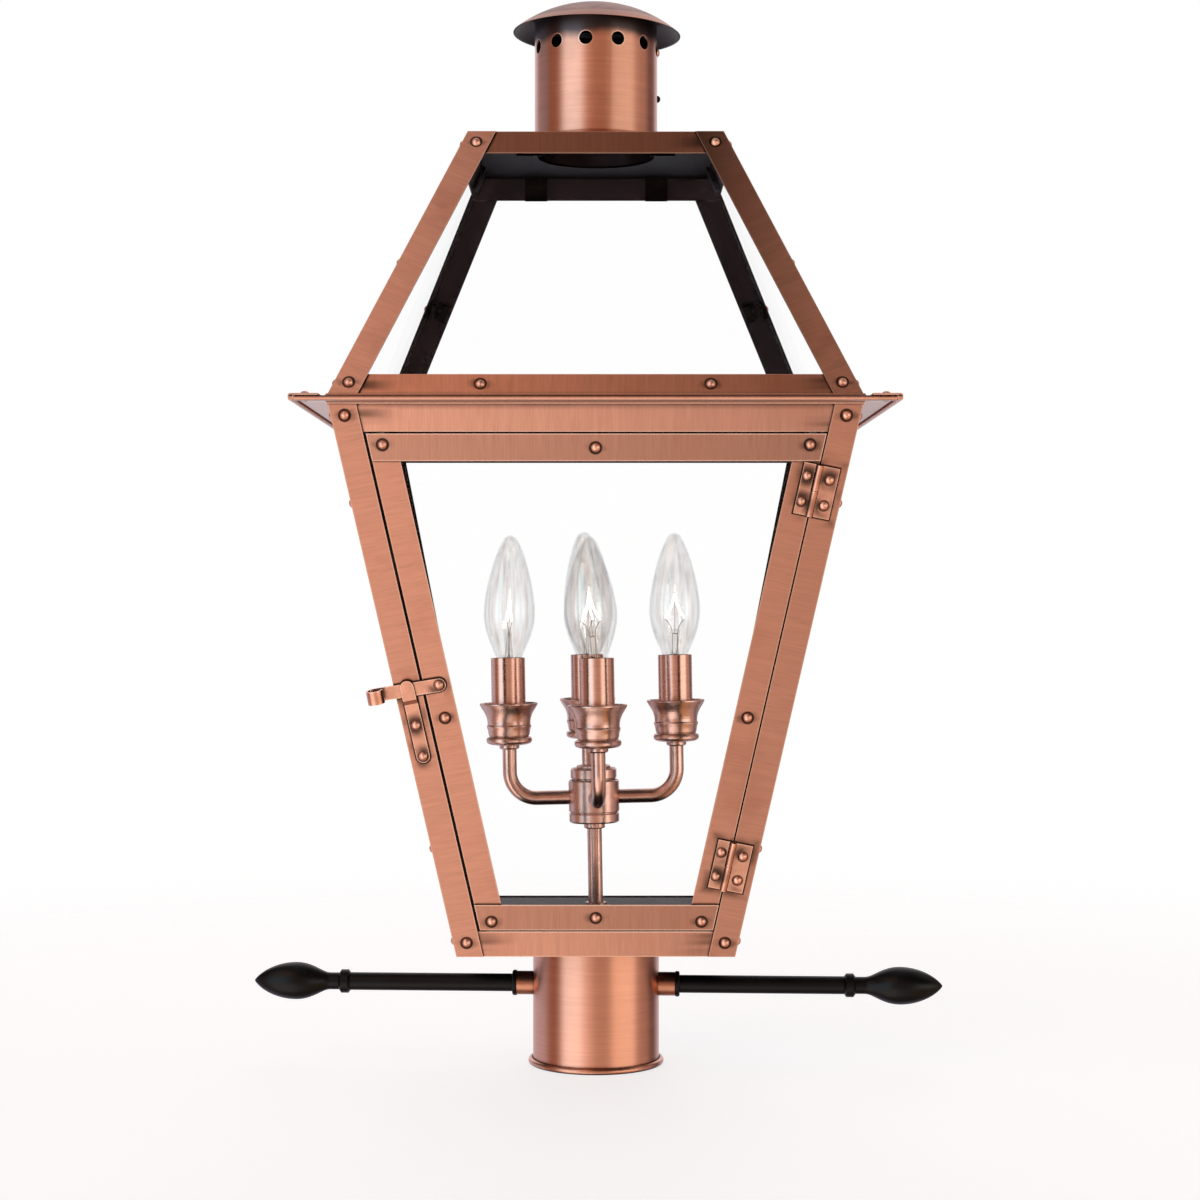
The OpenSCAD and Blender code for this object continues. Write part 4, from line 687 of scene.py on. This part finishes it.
def filament_glow():
    """Hot wire that glows a little unevenly."""
    s = Surface("filament glow")
    glow = s.fade(s.noise(s.place, 400.0), 0.3, 0.7, 0.8 * FILAMENT_GLOW, FILAMENT_GLOW)
    shader = s.node("ShaderNodeBsdfPrincipled", {"Base Color": (0.5, 0.4, 0.3), "Roughness": 0.4,
                                                 "Emission Color": (1.0, 0.96, 0.90), "Emission Strength": glow})
    s.finish(shader)
    return s.material


# ---------------------------------------------------------------- the lamps' inner parts

def lamp_frames():
    """Where each bulb's foot is and how it stands, from the front lamp round to the left one."""
    cluster = (Matrix.Translation((0, 0, CLUSTER_FLOOR)) @ Matrix.Rotation(math.radians(-CLUSTER_LEAN), 4, "Y")
               @ Matrix.Rotation(math.radians(CLUSTER_TURN), 4, "Z"))
    for i, (lean, turn) in enumerate(zip(LAMP_LEANS, LAMP_TURNS)):
        quarter = Matrix.Rotation(math.radians(90 * i), 4, "Z")
        yield (cluster @ quarter @ Matrix.Translation((0, -ARM_REACH, LAMP_PIVOT)) @ quarter.inverted()
               @ Matrix.Rotation(math.radians(lean), 4, "Y") @ Matrix.Rotation(math.radians(turn), 4, "Z")
               @ Matrix.Translation((0, 0, LAMP_FOOT - LAMP_PIVOT)))


def rings(mesh, loops):
    """Skins a row of equally long loops of points and closes both ends."""
    rows = [[mesh.verts.new(point) for point in loop] for loop in loops]
    count = len(rows[0])
    for low, high in zip(rows, rows[1:]):
        for i in range(count):
            mesh.faces.new((low[i], low[(i + 1) % count], high[(i + 1) % count], high[i]))
    mesh.faces.new(rows[0][::-1])
    mesh.faces.new(rows[-1])


def sweep(mesh, path, radius, sides=8):
    """A round wire along a path, with its cross section carried along without twisting."""
    path = [Vector(point) for point in path]
    loops, across = [], None
    for i, point in enumerate(path):
        ahead = (path[min(i + 1, len(path) - 1)] - path[max(i - 1, 0)]).normalized()
        if across is None:
            across = ahead.cross((0, 1, 0) if abs(ahead.y) < 0.9 else (1, 0, 0))
        across = (across - ahead * across.dot(ahead)).normalized()
        other = ahead.cross(across)
        loops.append([point + radius * (math.cos(a) * across + math.sin(a) * other)
                      for a in (2 * math.pi * k / sides for k in range(sides))])
    rings(mesh, loops)


def lamp_piece(name, build, material):
    """One piece that holds the same part of all four lamps."""
    single = bmesh.new()
    build(single)
    bmesh.ops.recalc_face_normals(single, faces=single.faces)
    part = bpy.data.meshes.new("lamp part")
    single.to_mesh(part)
    single.free()
    whole = bmesh.new()
    for frame_of_lamp in lamp_frames():
        part.transform(frame_of_lamp)
        whole.from_mesh(part)
        part.transform(frame_of_lamp.inverted())
    for face in whole.faces:
        face.smooth = True
    data = bpy.data.meshes.new(name)
    whole.to_mesh(data)
    whole.free()
    bpy.data.meshes.remove(part)
    data.materials.append(material)
    thing = bpy.data.objects.new(name, data)
    bpy.context.scene.collection.objects.link(thing)
    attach(thing, "lantern")
    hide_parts("bulb_filaments")
    return thing


# Places in a lamp, to the side and up from the glass's foot
WIRE_ELBOW = (0.0065, 0.0296)
COIL_PEAK = 0.0456
MOUNT_TOP = 0.0228
# The filament's coils in a metre, their radius, the wire's radius, steps in a coil, and how far each half bows
COILS_PER_METRE = 1050
COIL_RADIUS = 0.00052
FILAMENT_RADIUS = 0.00014
COIL_STEPS = 9
COIL_BOW = 0.0012
LEAD_RADIUS = 0.00024
SUPPORT_RADIUS = 0.00016
STUB_RADIUS = 0.00065
CROSSBAR_RADIUS = 0.00035


def build_mount(mesh):
    """A flared foot, a drawn neck and a flattened press."""
    outline = [(0.0048, 0.0008), (0.0050, 0.0014), (0.0044, 0.0030), (0.0032, 0.0050), (0.0025, 0.0080),
               (0.0022, 0.0120), (0.0021, 0.0160), (0.0024, 0.0190), (0.0026, 0.0212), (0.0022, 0.0226),
               (0.0010, MOUNT_TOP)]
    loops = []
    for radius, height in outline:
        press = min(1.0, max(0.0, (height - 0.014) / 0.005))
        loops.append([(radius * (1 + 0.25 * press) * math.cos(a), radius * (1 - 0.45 * press) * math.sin(a), height)
                      for a in (2 * math.pi * k / 24 for k in range(24))])
    rings(mesh, loops)


def build_wires(mesh):
    """Two leads, the support of the filament's peak, the stub of the pumping tube and a crossbar."""
    for side in (-1, 1):
        sweep(mesh, [(side * x, 0, z) for x, z in (
            (0.0012, 0.0015), (0.0014, 0.0100), (0.0017, 0.0190), (0.0022, 0.0232), (0.0036, 0.0262),
            (0.0052, 0.0283), (0.0063, 0.0293), (0.0069, 0.0300), (0.0070, 0.0308))], LEAD_RADIUS)
    sweep(mesh, [(0, 0, z) for z in (0.0205, 0.0300, 0.0400, 0.0449)] + [(0.0005, 0, 0.0460), (0.0010, 0, 0.0455)],
          SUPPORT_RADIUS)
    sweep(mesh, [(0, 0.0008, z) for z in (0.0015, 0.0040, 0.0070)], STUB_RADIUS, 12)
    sweep(mesh, [(-0.0016, 0.0002, 0.0196), (0.0, 0.0002, 0.0200), (0.0016, 0.0002, 0.0196)], CROSSBAR_RADIUS)


def build_coils(mesh):
    """A coiled wire from one lead up to the support and down to the other lead."""
    for side in (-1, 1):
        start, end = Vector((side * WIRE_ELBOW[0], 0, WIRE_ELBOW[1])), Vector((0, 0, COIL_PEAK))
        run = end - start
        ahead = run.normalized()
        across = Vector((0, 1, 0))
        other = ahead.cross(across)
        count = round(run.length * COILS_PER_METRE * COIL_STEPS)
        path = []
        for i in range(count + 1):
            share = i / count
            angle = 2 * math.pi * i / COIL_STEPS
            middle = start + run * share + other * (side * COIL_BOW * math.sin(math.pi * share))
            path.append(middle + COIL_RADIUS * (math.cos(angle) * across + math.sin(angle) * other))
        sweep(mesh, path, FILAMENT_RADIUS, 5)


lamp_piece("lamp_mounts", build_mount, mount_glass())
lamp_piece("lamp_wires", build_wires, wire_metal())
lamp_piece("lamp_coils", build_coils, filament_glow())


# ---------------------------------------------------------------- finishes

def wear(node, material):
    """Gives a CAD node its finish."""
    thing = nodes[node]
    thing.data.materials.clear()
    thing.data.materials.append(material)


def round_edges(node):
    """Breaks a CAD node's sharp edges by modifiers, and keeps its faces flat between them."""
    thing = nodes[node]
    weld = thing.modifiers.new("weld", "WELD")
    weld.merge_threshold = WELD_REACH
    flats = thing.modifiers.new("flats", "DECIMATE")
    flats.decimate_type = "DISSOLVE"
    flats.angle_limit = math.radians(1.0)
    bevel = thing.modifiers.new("edges", "BEVEL")
    bevel.width = EDGE_ROUNDING
    bevel.segments = 2
    bevel.limit_method = "ANGLE"
    bevel.angle_limit = math.radians(38)
    bevel.use_clamp_overlap = True
    bevel.harden_normals = True
    thing.modifiers.new("flat shading", "WEIGHTED_NORMAL").weight = 100


# Each strap and its grain
STRAPS = {
    "corner_post_front_right": "post", "corner_post_rear_right": "post",
    "corner_post_rear_left": "post", "corner_post_front_left": "post",
    "hip_front_right": "hip", "hip_rear_right": "hip", "hip_rear_left": "hip", "hip_front_left": "hip",
    "body_foot_rails": "rail", "body_head_rails": "rail", "door_rails": "rail", "door_stiles": "post",
    "roof_base_rails": "rail", "roof_top_rails": "rail",
}
# Painted light and shade: how light each strap is painted in the middle of the front, and how much lighter a metre
# to the right
PAINTED_LIGHT_TONES = {
    "roof_top_rails": (0.46, -0.6), "roof_base_rails": (1.04, -2.40), "body_head_rails": (0.80, -1.15),
    "door_rails": (0.60, -0.90), "body_foot_rails": (0.78, -1.50), "corner_post_front_left": (1.00, 0.0),
    "corner_post_front_right": (0.90, 0.0), "hip_front_left": (0.82, -3.2), "hip_front_right": (-0.62, 14.2),
    "door_stiles": (0.99, -0.60),
}
# The flared face that each rail lies on, and the heights towards which painted shade darkens a rail
FACES = {"body_foot_rails": BODY_FACE, "body_head_rails": BODY_FACE, "roof_base_rails": ROOF_FACE,
         "roof_top_rails": ROOF_FACE}
SHADES = {"body_head_rails": [(EAVE_HEIGHT, 0.0060, 0.85)], "roof_base_rails": [(ROOF_FACE[0], 0.0050, 0.80)]}
for node, grain in STRAPS.items():
    wear(node, brushed_strap(f"{node} copper", node, grain, tone=PAINTED_LIGHT_TONES.get(node, (1.0, 0.0)), face=FACES.get(node),
                             shades=SHADES.get(node, ())))
wear("eave_front_and_rear", brushed_strap("eave front copper", "eave_front_and_rear", "rail", "x"))
wear("eave_sides", brushed_strap("eave side copper", "eave_sides", "rail", "y"))

wear("post_fitter", brushed_tube("fitter copper"))
wear("chimney", brushed_tube("chimney copper", stain=0.10, shaded_top=True))
wear("chimney_foot_ring", brushed_tube("ring copper", COPPER_DARK))
wear("ladder_sockets", worked_copper("socket copper", (0.66, 0.30, 0.19)))

for node in ("hinge_post_leaves", "hinge_door_leaves", "latch_lever", "latch_keeper"):
    wear(node, worked_copper(f"{node} copper", groove=0.0022, roughness=0.28, spots=rivets_on(node), edge_wear_and_highlight=0.0009,
                             dark_inside=True))
heads = worked_copper("rivet copper", (1.10, 0.62, 0.47), groove=0.0009, dirt=0.95, roughness=0.38,
                      dark_inside=True)
for node in ("frame_rivets", "door_rivets", "latch_pivot", "hinge_pins"):
    wear(node, heads)

cluster = worked_copper("cluster copper", COPPER_BROWN, groove=0.0026, dirt=0.8, roughness=0.24)
for node in ("stem", "stem_flange", "hub_cover", "hub", "hub_cap", "candle_arms", "candle_cups"):
    wear(node, cluster)
wear("candle_sleeves", brushed_tube("sleeve copper", (0.93, 0.565, 0.46), dark_inside=False, roughness=0.24))

wear("rain_cap", cap_metal())
dark_sheet = blackened("blackened copper")
for node in ("floor_tray", "bottom_pan", "glass_clips", "door_clips", "cap_bracket"):
    wear(node, dark_sheet)
wear("roof_plate", blackened("sooty plate", PLATE_SOOT, 0.55))
paint = black_paint()
for node in ("ladder_rings", "ladder_rods", "ladder_finials", "chimney_screw", "set_screws"):
    wear(node, paint)
wear("bulb_bases", brass_metal())
wear("lamp_sockets", socket_plastic())

upright_pane, sloped_pane = pane_glass("pane glass", 0.52), pane_glass("roof pane glass", 0.06)
for node in nodes:
    if node.startswith(("body_glass", "door_glass")):
        wear(node, upright_pane)
    if node.startswith("roof_glass"):
        wear(node, sloped_pane)
wear("bulb_glass", bulb_glass())

for node in [*STRAPS, "eave_front_and_rear", "eave_sides", "hinge_post_leaves", "hinge_door_leaves"]:
    round_edges(node)


# ---------------------------------------------------------------- studio

# Soft boxes of light: from left to right and from low to high, in degrees from the camera's side, and a colour
STUDIO = [
    ((-66, -24), (-12, 30), (1.13, 1.46, 1.69)),
    ((-72, -14), (30, 64), (1.17, 0.75, 0.54)),
    ((-66, -8), (-64, -12), (1.48, 1.31, 1.21)),
    ((-8, 28), (-64, -12), (0.72, 0.62, 0.55)),
    ((28, 76), (-64, -12), (0.60, 0.33, 0.15)),
    ((28, 76), (-12, 14), (1.75, 1.62, 1.45)),
    ((-24, 28), (-12, 36), (0.42, 0.23, 0.15)),
    ((-100, -66), (-64, 40), (0.29, 0.14, 0.08)),
    ((76, 112), (-64, 40), (0.46, 0.33, 0.28)),
    ((112, 140), (-64, 40), (0.14, 0.10, 0.10)),
    ((-181, -100), (-64, 12), (0.54, 0.52, 0.61)),
    ((140, 181), (-64, 12), (0.50, 0.50, 0.58)),
    ((-181, -146), (12, 68), (0.95, 0.90, 0.92)),
    ((146, 181), (12, 68), (0.95, 0.90, 0.92)),
    ((-100, -72), (40, 68), (0.50, 0.46, 0.46)),
    ((76, 140), (40, 68), (0.50, 0.46, 0.46)),
    ((-181, -162), (-12, 4), (0.42, 0.36, 0.24)),
    ((162, 181), (-12, 4), (0.42, 0.36, 0.24)),
    ((-181, 181), (80, 99), (0.60, 0.60, 0.60)),
    ((-181, 181), (-99, -72), (0.30, 0.20, 0.16)),
]
STUDIO_BASE = (0.01, 0.01, 0.01)
BOX_SOFTNESS = 9
# The floor's half width, and where it fades from its edge inwards
FLOOR_HALF = 1.6
FLOOR_FADE = (0.45, 1.25)


def sky():
    """Soft light from all round, by boxes whose soft edges meet."""
    world = bpy.data.worlds.new("studio")
    bpy.context.scene.world = world
    g = Graph(world)
    x, y, z = g.separate(g.node("ShaderNodeTexCoord").outputs["Generated"])
    turn = g.math("DEGREES", g.math("ARCTAN2", x, g.math("MULTIPLY", y, -1.0)))
    rise = g.math("DEGREES", g.math("ARCSINE", z))
    light = STUDIO_BASE
    for (left, right), (low, high), colour in STUDIO:
        share = g.math("MULTIPLY", g.fade(turn, left - BOX_SOFTNESS, left + BOX_SOFTNESS),
                       g.fade(turn, right - BOX_SOFTNESS, right + BOX_SOFTNESS, 1, 0))
        share = g.math("MULTIPLY", share, g.fade(rise, low - BOX_SOFTNESS, low + BOX_SOFTNESS))
        share = g.math("MULTIPLY", share, g.fade(rise, high - BOX_SOFTNESS, high + BOX_SOFTNESS, 1, 0))
        light = g.mix(share, light, scaled(colour, BRIGHTNESS), "ADD")
    seen = g.node("ShaderNodeLightPath").outputs["Is Camera Ray"]
    sky_colour = g.mix(seen, light, (1.0, 1.0, 1.0))
    shader = g.node("ShaderNodeBackground", {"Color": sky_colour, "Strength": 1.0})
    out = g.node("ShaderNodeOutputWorld")
    g.tree.links.new(shader.outputs[0], out.inputs["Surface"])


def floor():
    """A pale floor that fades into the white background at its rim."""
    mesh = bmesh.new()
    bmesh.ops.create_grid(mesh, x_segments=40, y_segments=40, size=FLOOR_HALF)
    data = bpy.data.meshes.new("floor")
    mesh.to_mesh(data)
    mesh.free()
    thing = bpy.data.objects.new("floor", data)
    bpy.context.scene.collection.objects.link(thing)
    s = Surface("pale floor")
    grain = s.noise(s.place, 240.0, 2.0)
    radial = s.vector("LENGTH", s.combine(s.x, s.y, 0.0))
    colour = s.mix(grain, (0.32, 0.32, 0.32), (0.34, 0.34, 0.34))
    shader = s.node("ShaderNodeBsdfPrincipled", {"Base Color": colour, "Roughness": 0.7,
                                                 "Emission Color": (1.0, 1.0, 1.0), "Emission Strength": 0.75,
                                                 "Alpha": s.fade(radial, *FLOOR_FADE, 1.0, 0.0)})
    s.finish(shader, grain, 0.00001)
    data.materials.append(s.material)
    thing.visible_glossy = False


def camera():
    data = bpy.data.cameras.new("camera")
    data.sensor_width = 36.0
    data.lens = CAMERA_LENS
    data.shift_y = CAMERA_SHIFT
    data.clip_start = 0.05
    thing = bpy.data.objects.new("camera", data)
    thing.location = CAMERA_PLACE
    thing.rotation_euler = (math.radians(90), 0.0, 0.0)
    bpy.context.scene.collection.objects.link(thing)
    bpy.context.scene.camera = thing


sky()
floor()
camera()
bpy.context.scene.view_settings.view_transform = "Standard"
bpy.context.scene.cycles.transparent_max_bounces = 24
